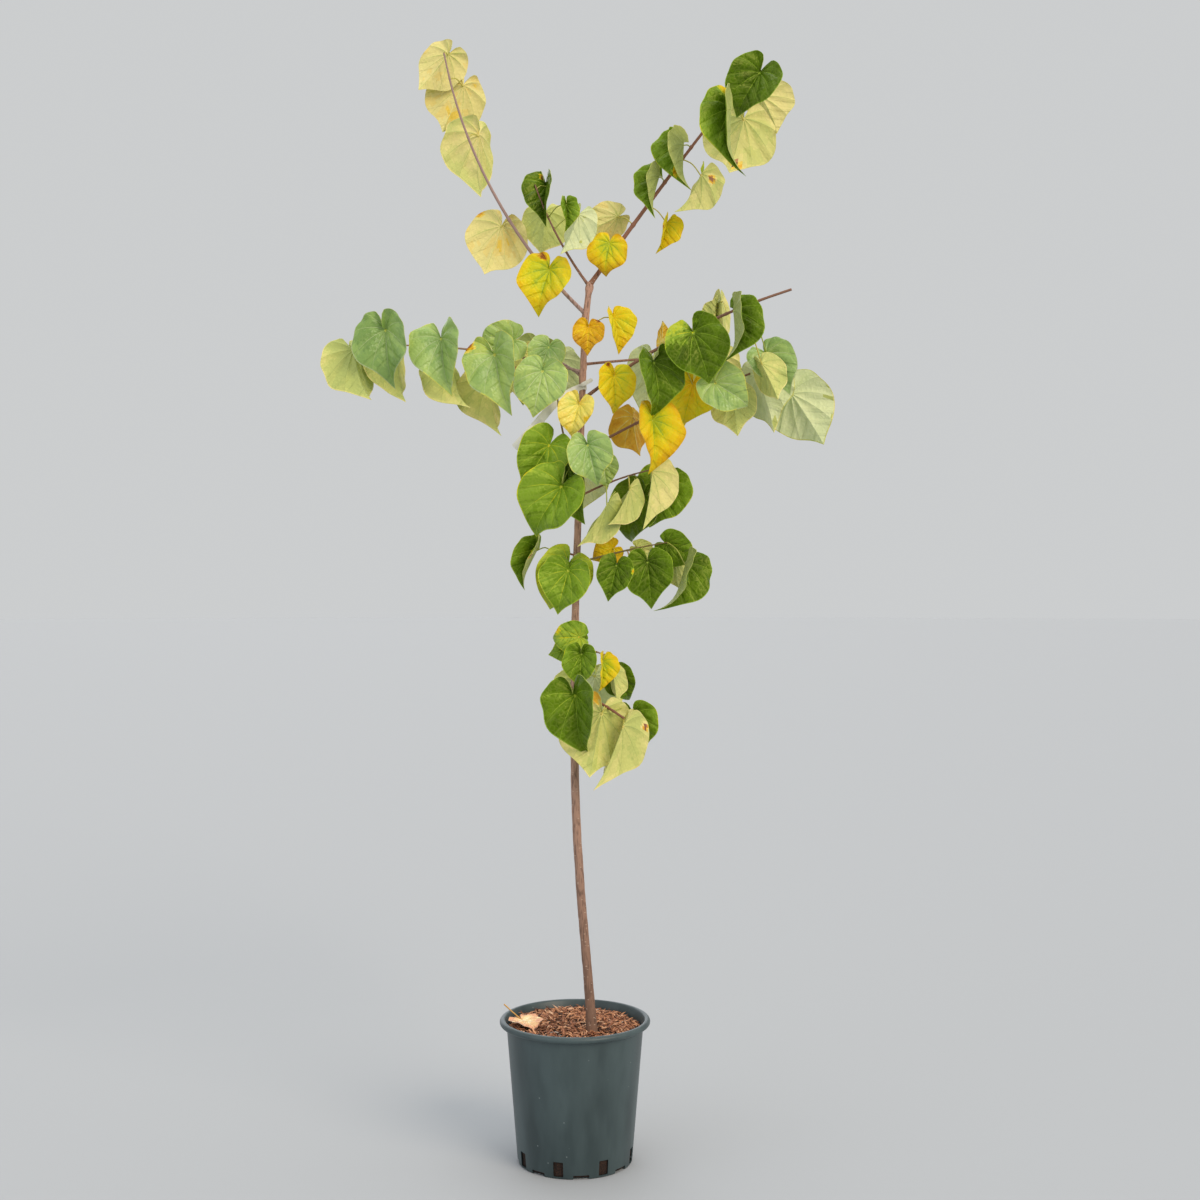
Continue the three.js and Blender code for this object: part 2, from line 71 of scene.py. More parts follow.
def linear(colour):
    """An sRGB hex colour as the linear colour that a shader takes."""
    parts = [int(colour[i : i + 2], 16) / 255 for i in (1, 3, 5)]
    return [p / 12.92 if p <= 0.04045 else ((p + 0.055) / 1.055) ** 2.4 for p in parts] + [1]


def set_inputs(node, inputs):
    """Gives each named socket of a node a value, or a link from a socket or from a node's first
    output in use."""
    for name, value in inputs.items():
        if isinstance(value, bpy.types.Node):
            value = next(socket for socket in value.outputs if socket.enabled)
        if isinstance(value, bpy.types.NodeSocket):
            node.id_data.links.new(value, node.inputs[name])
        else:
            node.inputs[name].default_value = value


for name, (way, width, strength, colour) in SKY_LIGHTS.items():
    light = bpy.data.lights.new(name, "SUN")
    light.angle = math.radians(width)
    light.energy = strength
    light.color = linear(colour)[:3]
    holder = bpy.data.objects.new(name, light)
    holder.rotation_euler = (-Vector(way)).to_track_quat("-Z", "Y").to_euler()
    bpy.context.scene.collection.objects.link(holder)

room = bpy.data.worlds.new("room")
room.use_nodes = True
room_light = {"Color": linear(ROOM_COLOUR), "Strength": ROOM_STRENGTH}
set_inputs(room.node_tree.nodes["Background"], room_light)
bpy.context.scene.world = room


# Floor. A wide sheet of pale matt studio vinyl, far larger than the view.
FLOOR_RADIUS = 60000
FLOOR_SIDES = 64
FLOOR_COLOUR = "#b3b6b9"


def add_node(material, kind, inputs=None, **settings):
    """Adds a shader node to a material, with its settings and its values and links."""
    node = material.node_tree.nodes.new("ShaderNode" + kind)
    for name, value in settings.items():
        setattr(node, name, value)
    set_inputs(node, inputs or {})
    return node


def new_material(name, colour, roughness, ior=1.5):
    """A plain surface, its shader, and what adds a node of a pattern to it."""
    material = bpy.data.materials.new(name)
    material.use_nodes = True
    material.diffuse_color = linear(colour)
    shader = material.node_tree.nodes["Principled BSDF"]
    set_inputs(shader, {"Base Color": linear(colour), "Roughness": roughness, "IOR": ior})
    return material, shader, functools.partial(add_node, material)


def mesh_object(name, points, faces, materials, paints=0, grain=None, crease=180):
    """An object from points in mm and faces of four corners, or three and a -1. paints numbers
    each face's material, grain is each point's place on the surface's own pattern, and edges
    sharper than the crease in degrees are shaded as edges."""
    mesh = bpy.data.meshes.new(name)
    used, paints = np.unique(np.broadcast_to(paints, len(faces)), return_inverse=True)
    for number in used:
        mesh.materials.append(materials[number])
    corners = [[corner for corner in face if corner >= 0] for face in faces.tolist()]
    mesh.from_pydata(points * MM, [], corners)
    mesh.polygons.foreach_set("material_index", paints.astype(np.int32))
    if grain is not None:
        layer = mesh.uv_layers.new(name="grain")
        layer.data.foreach_set("uv", grain[faces[faces >= 0]].astype(np.float32).ravel())
    mesh.validate()
    mesh.shade_smooth()
    if crease < 180:
        mesh.set_sharp_from_angle(angle=math.radians(crease))
    made = bpy.data.objects.new(name, mesh)
    bpy.context.scene.collection.objects.link(made)
    return made


def round_angles(count):
    """Even steps round a circle."""
    return np.linspace(0, 2 * math.pi, count, endpoint=False)


angles = round_angles(FLOOR_SIDES)
floor_rim = FLOOR_RADIUS * np.stack([np.cos(angles), np.sin(angles), 0 * angles], axis=1)
floor_faces = np.array([[0, i + 1, (i + 1) % FLOOR_SIDES + 1, -1] for i in range(FLOOR_SIDES)])
vinyl, _, _ = new_material("matt studio vinyl", FLOOR_COLOUR, 0.9)
floor = mesh_object("floor", np.vstack([[0, 0, 0], floor_rim]), floor_faces, [vinyl])


# Pot. A round nursery pot, injection moulded in one piece of dark green-grey polypropylene: a
# tapered wall with a rolled lip, eight drain slots round its foot and a notch between each two.
POT = {
    "height": 270, "foot_radius": 109, "wall_radius": 130, "lip_radius": 143, "lip_depth": 12,
    "wall": 2.4, "floor": 3, "slots": 8, "slot_width": 19, "slot_turn": 7, "slot_height": 28,
    "notch_width": 30, "notch_height": 8,
}
POT_COLOURS = ("#2e3c3e", "#435254", "#939e9d")  # the darker bands of the painted sheen streaks, its face and the lighter bands, dust
CUT_CORNER = 1.6  # the rounding of the slots' corners
POT_SIDES = 192


def arc(centre, radius, start, end, steps=6):
    """Points of a profile round a corner, from one angle to another in degrees."""
    angles = np.radians(np.linspace(start, end, steps))
    return [(centre[0] + radius * np.cos(t), centre[1] + radius * np.sin(t)) for t in angles]


def ring_faces(rings, sides):
    """Faces between rings of points, and fans over both ends to two last points."""
    step = np.arange(sides)
    after = (step + 1) % sides
    climb = sides * np.arange(rings - 1)[:, None]
    here, there = climb + step, climb + after
    between = np.stack([here, there, there + sides, here + sides], axis=2).reshape(-1, 4)
    top, first, gap = (rings - 1) * sides, 0 * step + rings * sides, 0 * step - 1
    foot = np.stack([first, after, step, gap], axis=1)
    head = np.stack([first + 1, top + step, top + after, gap], axis=1)
    return np.vstack([between, foot, head])


def turned(profile, sides):
    """Points and faces of a profile of radius and height turned about the Z axis. It closes on
    the axis at its first and last points."""
    angles = round_angles(sides)
    radii, heights = np.array(profile[1:-1]).T[:, :, None]
    points = np.stack([radii * np.cos(angles), radii * np.sin(angles), heights + 0 * angles], axis=2)
    ends = [[0, 0, profile[0][1]], [0, 0, profile[-1][1]]]
    return np.vstack([points.reshape(-1, 3), ends]), ring_faces(len(radii), sides)


lip_round = POT["lip_depth"] / 2
under_lip = POT["height"] - POT["lip_depth"]
inner_foot = POT["foot_radius"] - POT["wall"]
profile = [
    (0, 0.6),
    (POT["foot_radius"] - 9, 0.6),
    *arc((POT["foot_radius"] - 7, 2), 2, 230, 270, 3),
    *arc((POT["foot_radius"] - 3, 3), 3, 270, 360),
    (POT["foot_radius"] + 1.2, 17),
    (POT["wall_radius"] - 1.2, under_lip - 15),
    *arc((POT["wall_radius"] + 2.2, under_lip - 3), 2.4, 180, 100, 4),
    *arc((POT["lip_radius"] - lip_round, POT["height"] - lip_round), lip_round, -80, 90, 10),
    *arc((POT["wall_radius"] + 6, POT["height"] - 4), 4, 90, 170, 5),
    (POT["wall_radius"] - POT["wall"], under_lip - 2),
    (inner_foot + 1, POT["floor"] + 3),
    *arc((inner_foot - 2, POT["floor"] + 3), 3, 0, -90, 4),
    (0, POT["floor"]),
]


def rounded_cutter(angle, width, bottom, top):
    """A block with rounded corners that cuts through the pot's wall at an angle about it."""
    made = bpy.data.objects.new("cutter", bpy.data.meshes.new("cutter"))
    bpy.context.scene.collection.objects.link(made)
    x, y = np.array([8, width / 2]) * MM
    z = (top - bottom) / 2 * MM
    corners = [(i * x, j * y, k * z) for i in (-1, 1) for j in (-1, 1) for k in (-1, 1)]
    sides = [(0, 1, 3, 2), (4, 6, 7, 5), (0, 4, 5, 1), (2, 3, 7, 6), (0, 2, 6, 4), (1, 5, 7, 3)]
    made.data.from_pydata(corners, [], sides)
    rounding = made.modifiers.new("corners", "BEVEL")
    rounding.width = CUT_CORNER * MM
    rounding.segments = 3
    centre = POT["foot_radius"] * MM
    made.location = (centre * math.cos(angle), centre * math.sin(angle), (top + bottom) / 2 * MM)
    made.rotation_euler = (0, 0, angle)
    return made


plastic, shader, add = new_material("moulded polypropylene", POT_COLOURS[1], 0.42, 1.49)
place = add("TexCoord").outputs["Object"]
# Painted sheen: lighter and darker streaks about 60 mm apart, slanting round the wall
slanted = add("Mapping", {"Vector": place, "Rotation": (0.5, 0.6, 0.4), "Scale": (17, 17, 5)})
sheen_streaks = add("TexNoise", {"Vector": slanted, "Scale": 1.0, "Detail": 3.0})
shades = add("ValToRGB", {"Fac": sheen_streaks})
for shade, at, colour in zip(shades.color_ramp.elements, (0.32, 0.62), POT_COLOURS):
    shade.position, shade.color = at, linear(colour)
# Specks of dust, 1 to 2 mm across and about 25 mm apart
specks = add("TexVoronoi", {"Vector": place, "Scale": 42.0})
dust = add("MapRange", {"Value": specks, "From Min": 0.075, "From Max": 0.03, "To Max": 0.55})
dusty = add("Mix", {"Factor": dust, 6: shades, 7: linear(POT_COLOURS[2])}, data_type="RGBA")
# A fine spark-eroded grain, drawn at 1.2 mm so that it shows
grain = add("TexNoise", {"Vector": place, "Scale": 820.0, "Detail": 1.0})
grained = add("Bump", {"Height": grain, "Strength": 0.35, "Distance": 0.0002})
satin = add("MapRange", {"Value": sheen_streaks, "To Min": 0.34, "To Max": 0.5})
set_inputs(shader, {"Base Color": dusty, "Roughness": satin, "Normal": grained})

pot = mesh_object("pot_wall", *turned(profile, POT_SIDES), [plastic])
half = math.pi / POT["slots"]
first = math.radians(POT["slot_turn"] - 90)
slot_foot = POT["floor"] + 1
for i in range(POT["slots"]):
    cutters = [
        rounded_cutter(
            first + (2 * i + 1) * half, POT["slot_width"], slot_foot, slot_foot + POT["slot_height"]
        ),
        rounded_cutter(first + 2 * i * half, POT["notch_width"], -2, POT["notch_height"]),
    ]
    for cutter in cutters:
        cut = pot.modifiers.new("cut", "BOOLEAN")
        cut.operation, cut.solver, cut.object = "DIFFERENCE", "EXACT", cutter
    graph = bpy.context.evaluated_depsgraph_get()
    pot.data = bpy.data.meshes.new_from_object(pot.evaluated_get(graph))
    pot.modifiers.clear()
    for cutter in cutters:
        bpy.data.objects.remove(cutter)
pot.data.set_sharp_from_angle(angle=math.radians(40))
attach(pot, "root")
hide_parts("pot")


# Compost. Dark peaty compost fills the pot to just under its lip, and shows at the slots as a
# crumbly mass held by fine roots. It is heaped a little round the trunk.
COMPOST = {"edge": 252, "crown": 263, "slope": 0.025, "ripple": 2, "gap": 1}
COMPOST_COLOURS = ("#1a100b", "#3d2619")
COMPOST_SIDES = 150
CRUMBS = (7, 3.4)  # the sizes of its clods and crumbs


def ripples(points, size, seed, waves=9):
    """Smooth uneven waves about size mm across, within about -1 to 1, the same on every run."""
    draw = np.random.default_rng(seed)
    ways = draw.normal(size=(waves, 3))
    ways /= np.linalg.norm(ways, axis=1)[:, None] * size * draw.uniform(0.7, 1.7, (waves, 1))
    shift = draw.uniform(0, 2 * math.pi, waves)
    return np.sin(2 * math.pi * points @ ways.T + shift).sum(axis=1) / math.sqrt(waves)


def compost_top(x, y):
    """How high the compost lies at a place in the pot."""
    crown, edge = COMPOST["crown"], COMPOST["edge"]
    steps = [crown, crown, crown + 0.15 * (edge - crown), (crown + edge) / 2, edge]
    heap = np.interp(np.hypot(x, y) / compost_radius, [0, 0.2, 0.5, 0.8, 1], steps)
    wave = np.sin(x / 17) * np.cos(y / 21) + 0.5 * np.sin((x + y) / 9)
    return heap - COMPOST["slope"] * x + COMPOST["ripple"] * wave


def inside_wall(z):
    """The radius inside the pot's wall at a height, less the gap to the filling."""
    outside = np.interp(z, [0, under_lip], [POT["foot_radius"], POT["wall_radius"]])
    return outside - POT["wall"] - COMPOST["gap"]


compost_radius = inside_wall(COMPOST["edge"])
heights = np.linspace(POT["floor"] + 0.5, COMPOST["edge"], 60)
cover = COMPOST["edge"] + 1
profile = [(0, heights[0]), *[(inside_wall(z), z) for z in heights]]
profile += [(compost_radius * reach, cover) for reach in np.linspace(1, 0, 40)[1:]]
points, faces = turned(profile, COMPOST_SIDES)
on_top = points[:, 2] >= COMPOST["edge"]
points[on_top, 2] = compost_top(points[on_top, 0], points[on_top, 1])
crumbs = ripples(points, CRUMBS[0], 11) + 0.8 * ripples(points, CRUMBS[1], 12)
points[on_top, 2] += 0.9 * crumbs[on_top]
on_side = ~on_top & (points[:, 2] > POT["floor"] + 1)
points[on_side, :2] *= 1 - 0.006 * (1 + crumbs[on_side, None])

peat, shader, add = new_material("peaty compost", COMPOST_COLOURS[0], 0.95)
place = add("TexCoord").outputs["Object"]
# Crumbs 2 to 4 mm across
crumb = add("TexNoise", {"Vector": place, "Scale": 330.0, "Detail": 4.0})
shades = add("ValToRGB", {"Fac": crumb})
for shade, at, colour in zip(shades.color_ramp.elements, (0.4, 0.68), COMPOST_COLOURS):
    shade.position, shade.color = at, linear(colour)
rough = add("Bump", {"Height": crumb, "Strength": 0.9, "Distance": 0.0015})
set_inputs(shader, {"Base Color": shades, "Normal": rough})
compost = mesh_object("compost_fill", points, faces, [peat])
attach(compost, "root")
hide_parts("compost")


# Mulch. A layer of shredded conifer bark lies on the compost: splintered chips 4 to 30 mm long,
# red-brown and pinkish where fresh, dark in the gaps between them.
CHIPS = 2300
CHIP_LENGTHS = (8, 30)
CHIP_WIDTHS = (1.6, 5.4)
CHIP_SHARES = {
    "#a0694a": 0.22, "#bb8059": 0.2, "#d2986f": 0.14, "#6e442c": 0.16, "#e3b48f": 0.07,
    "#4c2e1f": 0.1, "#8a573d": 0.105, "#aaa198": 0.005,
}
CHIP_RINGS, CHIP_SIDES = 6, 5
TRUNK_FOOT = (34, -60)
TRUNK_CLEAR = 12  # no chip lies nearer the trunk's middle


def joined(lots):
    """Several lots of points, faces and paints as one."""
    starts = np.cumsum([0] + [len(lot[0]) for lot in lots])
    points = np.vstack([lot[0] for lot in lots])
    faces = np.vstack([np.where(lot[1] < 0, -1, lot[1] + at) for lot, at in zip(lots, starts)])
    paints = np.concatenate([np.broadcast_to(lot[2], len(lot[1])) for lot in lots])
    return points, faces, paints


def grained_material(name, colour, roughness, scale, strength, depth, ior=1.45):
    """A surface of one colour with a fine even grain, depth in metres, scale in grains to one."""
    made, shader, add = new_material(name, colour, roughness, ior)
    place = add("TexCoord").outputs["Object"]
    grain = add("TexNoise", {"Vector": place, "Scale": scale, "Detail": 3.0})
    bump = add("Bump", {"Height": grain, "Strength": strength, "Distance": depth})
    set_inputs(shader, {"Normal": bump})
    return made


def chip(draw):
    """One splinter of bark: a thin crooked bar, torn to points at its ends."""
    length = draw.uniform(*CHIP_LENGTHS) * draw.uniform(0.5, 1)
    width = min(draw.uniform(*CHIP_WIDTHS), length / 2.2)
    thick = width * draw.uniform(0.3, 0.6)
    along = np.array([-1, -0.72, -0.2, 0.3, 0.75, 1])
    swell = np.array([0.25, 0.8, 1, 0.95, 0.7, 0.2]) * draw.uniform(0.75, 1.2, CHIP_RINGS)
    angles = round_angles(CHIP_SIDES) + draw.uniform(0, 1)
    ring = np.stack([0 * angles, np.cos(angles) * width / 2, np.sin(angles) * thick / 2], axis=1)
    rings = swell[:, None, None] * ring * draw.uniform(0.75, 1.25, (CHIP_RINGS, CHIP_SIDES, 1))
    bow = draw.uniform(-0.12, 0.12, 2) * length
    middles = np.stack([along * length / 2, bow[0] * (1 - along**2), bow[1] * (1 - along**2)], axis=1)
    points = (rings + middles[:, None, :]).reshape(-1, 3)
    points[:, 0] += draw.uniform(-0.06, 0.06, len(points)) * length
    ends = middles[[0, -1]] + [[-0.08 * length, 0, 0], [0.08 * length, 0, 0]]
    yaw, tilt = draw.uniform(0, 2 * math.pi), np.radians(draw.normal(0, 17))
    turn = np.array([[np.cos(yaw), -np.sin(yaw), 0], [np.sin(yaw), np.cos(yaw), 0], [0, 0, 1]])
    lean = np.array([[np.cos(tilt), 0, -np.sin(tilt)], [0, 1, 0], [np.sin(tilt), 0, np.cos(tilt)]])
    return np.vstack([points, ends]) @ (turn @ lean).T


draw = np.random.default_rng(404)
chips = []
while len(chips) < CHIPS:
    x, y = draw.uniform(-compost_radius, compost_radius, 2)
    from_trunk = np.hypot(x - TRUNK_FOOT[0], y - TRUNK_FOOT[1])
    if np.hypot(x, y) > compost_radius - 3 or from_trunk < TRUNK_CLEAR:
        continue
    points = chip(draw)
    points += [x, y, compost_top(x, y) + draw.uniform(0.3, 3.6)]
    reach = np.hypot(points[:, 0], points[:, 1]).max()
    if reach > compost_radius:
        points[:, :2] *= compost_radius / reach
    paint = draw.choice(len(CHIP_SHARES), p=list(CHIP_SHARES.values()))
    chips.append((points, ring_faces(CHIP_RINGS, CHIP_SIDES), paint))

# Torn fibres, about 1 mm apart
bark_chips = [
    grained_material(f"shredded bark {i + 1}", colour, 0.85, 900.0, 0.7, 0.0006, 1.5)
    for i, colour in enumerate(CHIP_SHARES)
]
points, faces, paints = joined(chips)
mulch = mesh_object("bark_mulch", points, faces, bark_chips, paints, crease=45)
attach(mulch, "root")


# Trunk. A slim young stem with thin grey-brown bark, redder near the ground and darker there, partly as
# painted shade, finely fissured lengthwise and dotted with pale breathing pores. Its sides swell where
# shoots leave it.
TRUNK = {
    "radius_foot": 8.8, "radius_top": 5.8, "flare": 4.5, "flare_reach": 30,
    "stations": [
        (34, -60, 241), (25, -51, 360), (11, -36, 520), (1, -21, 700), (0, -4, 1000),
        (8, 4, 1280), (20, 6, 1590), (28, 6, 1668),
    ],
}
BARK_COLOURS = ("#765846", "#ac8874", "#bf9582")  # near the ground, darker there partly as painted shade; a third of the way up; at the top
BARK_DARK = "#5a4337"
PORE_COLOUR = "#cbb29c"


def smooth_route(points, per_span=16):
    """A line that curves smoothly through points: samples of it, and the length up to each."""
    points = np.asarray(points, float)
    ends = np.vstack([2 * points[0] - points[1], points, 2 * points[-1] - points[-2]])
    part = np.linspace(0, 1, per_span, endpoint=False)[:, None]
    samples = []
    for p0, p1, p2, p3 in zip(ends, ends[1:], ends[2:], ends[3:]):
        d0, d1, d2 = (math.sqrt(np.linalg.norm(b - a)) for a, b in ((p0, p1), (p1, p2), (p2, p3)))
        leave = p2 - p1 + d1 * ((p1 - p0) / d0 - (p2 - p0) / (d0 + d1))
        reach = p2 - p1 + d1 * ((p3 - p2) / d2 - (p3 - p1) / (d1 + d2))
        square = 3 * (p2 - p1) - 2 * leave - reach
        cube = leave + reach - 2 * (p2 - p1)
        samples.append(p1 + part * (leave + part * (square + part * cube)))
    samples = np.vstack([*samples, points[-1:]])
    steps = np.linalg.norm(np.diff(samples, axis=0), axis=1)
    return samples, np.concatenate([[0], np.cumsum(steps)])


def along_route(route, parts):
    """The points of a route at some parts of its length."""
    samples, lengths = route
    where = np.asarray(parts, float) * lengths[-1]
    return np.stack([np.interp(where, lengths, samples[:, k]) for k in range(3)], axis=-1)


def unit(vector):
    return vector / np.linalg.norm(vector)


def limb(centres, radii, sides, ends=0.4):
    """A closed limb round a line of centres. radii is by ring, or by ring and side, and each end
    is domed by a part of its radius."""
    ways = np.gradient(centres, axis=0)
    ways /= np.linalg.norm(ways, axis=1)[:, None]
    across = [unit(np.cross(ways[0], (0, 1, 0) if abs(ways[0][1]) < 0.8 else (1, 0, 0)))]
    for way in ways[1:]:
        across.append(unit(across[-1] - way * (across[-1] @ way)))
    across = np.array(across)
    angles = round_angles(sides)[:, None]
    out = across[:, None] * np.cos(angles) + np.cross(ways, across)[:, None] * np.sin(angles)
    radii = np.broadcast_to(np.asarray(radii, float).reshape(len(centres), -1), (len(centres), sides))
    points = (centres[:, None] + out * radii[:, :, None]).reshape(-1, 3)
    foot = centres[0] - ways[0] * ends * radii[0].mean()
    head = centres[-1] + ways[-1] * ends * radii[-1].mean()
    return np.vstack([points, foot, head]), ring_faces(len(centres), sides), out


def barked_limb(centres, radii, sides, ends, relief, seed):
    """A limb with low ribs and fissures that run along it, of a relief in mm."""
    radii = np.broadcast_to(np.asarray(radii).reshape(len(centres), -1), (len(centres), sides))
    _, _, out = limb(centres, radii, sides)
    surface = centres[:, None] + out * radii[:, :, None]
    stretched = surface.reshape(-1, 3) * (1, 1, 0.16)
    ribs = ripples(stretched, 6, seed) + 0.6 * ripples(stretched, 2.6, seed + 1)
    return limb(centres, radii + relief * ribs.reshape(radii.shape), sides, ends)[:2]


def bark_material(name, colours, dark, depth):
    """Thin bark: its colour runs through three by height, with darker fissures and pale pores."""
    made, shader, add = new_material(name, colours[1], 0.74, 1.45)
    place = add("TexCoord").outputs["Object"]
    height = add("SeparateXYZ", {"Vector": place}).outputs["Z"]
    climb = add("MapRange", {"Value": height, "From Min": 0.25, "From Max": 1.66})
    shades = add("ValToRGB", {"Fac": climb})
    shades.color_ramp.elements.new(0.33)
    for shade, colour in zip(shades.color_ramp.elements, colours):
        shade.color = linear(colour)
    # Fissures 3 mm apart and drawn out six times as long
    drawn_out = add("Mapping", {"Vector": place, "Scale": (330, 330, 55)})
    fissure = add("TexNoise", {"Vector": drawn_out, "Scale": 1.0, "Detail": 4.0})
    cleft = add("MapRange", {"Value": fissure, "From Min": 0.52, "From Max": 0.34, "To Max": 0.75})
    fissured = add("Mix", {"Factor": cleft, 6: shades, 7: linear(dark)}, data_type="RGBA")
    # Pores 3 mm wide and 1 mm high, one in each 10 mm or so
    squat = add("Mapping", {"Vector": place, "Scale": (85, 85, 210)})
    pore = add("TexVoronoi", {"Vector": squat, "Scale": 1.0})
    pore = add("MapRange", {"Value": pore, "From Min": 0.2, "From Max": 0.1, "To Max": 0.8})
    pored = add("Mix", {"Factor": pore, 6: fissured, 7: linear(PORE_COLOUR)}, data_type="RGBA")
    relief = add("Math", {0: fissure, 1: pore}, operation="ADD")
    bump = add("Bump", {"Height": relief, "Strength": 0.8, "Distance": depth})
    set_inputs(shader, {"Base Color": pored, "Normal": bump})
    return made


trunk_route = smooth_route(TRUNK["stations"])
trunk_length = trunk_route[1][-1]


def trunk_at(height):
    """The point of the trunk's middle at a height."""
    return np.array([np.interp(height, trunk_route[0][:, 2], trunk_route[0][:, k]) for k in range(3)])


# Boughs and masses. Each shoot leaves the trunk at one rise above level and bends evenly to
# another. Its bare foot is a bough, and what lies past that is a twig with leaves on petioles.
Shoot = namedtuple("Shoot", "name height bearing rise length radius bare bark")
SHOOTS = {  # rise: degrees above level at the foot and at the tip; bare: as a part of the length
    "top_left": (1606, 176, (44, 79), 580, (3.8, 1.6), 0.15, "pale"),
    "top_middle": (1660, 190, (52, 70), 215, (2.8, 1.2), 0.2, "dark"),
    "top_right": (1662, 355, (54, 51), 520, (4.6, 1.8), 0.13, "red"),
    "left": (1497, 172, (17, -3), 475, (2.6, 1.2), 0.1, "pale"),
    "centre": (1556, 300, (40, 30), 52, (2.2, 1.4), 0, "red"),
    "right_upper": (1444, 350, (37, 16), 445, (3.4, 2.4), 0.1, "dark"),
    "right_lower": (1343, 10, (30, 21), 372, (2.8, 1.8), 0.12, "dark"),
    "middle_left": (1296, 228, (52, 84), 165, (2.4, 1.4), 0, "green"),
    "middle_right": (1260, 352, (28, 12), 146, (2.2, 1.2), 0, "dark"),
    "lower_right": (1134, 4, (16, 10), 178, (2.2, 1.1), 0, "green"),
    "lower_left": (1148, 205, (15, 5), 52, (2.0, 1.3), 0, "red"),
    "low_upper": (973, 330, (-2, -18), 66, (2.2, 1.4), 0, "pale"),
    "low": (893, 322, (-16, -28), 128, (3.2, 2.2), 0, "red"),
    "back_upper": (1512, 44, (10, 6), 410, (2.8, 1.3), 0.3, "dark"),
    "back_left": (1487, 126, (30, 4), 330, (2.6, 1.2), 0.25, "pale"),
    "back_middle": (1285, 98, (26, 8), 210, (2.2, 1.2), 0.25, "green"),
    "back_low": (905, 76, (14, -6), 150, (2.2, 1.3), 0.25, "red"),
}
PRUNED = "right_upper"  # this shoot ends in a cut
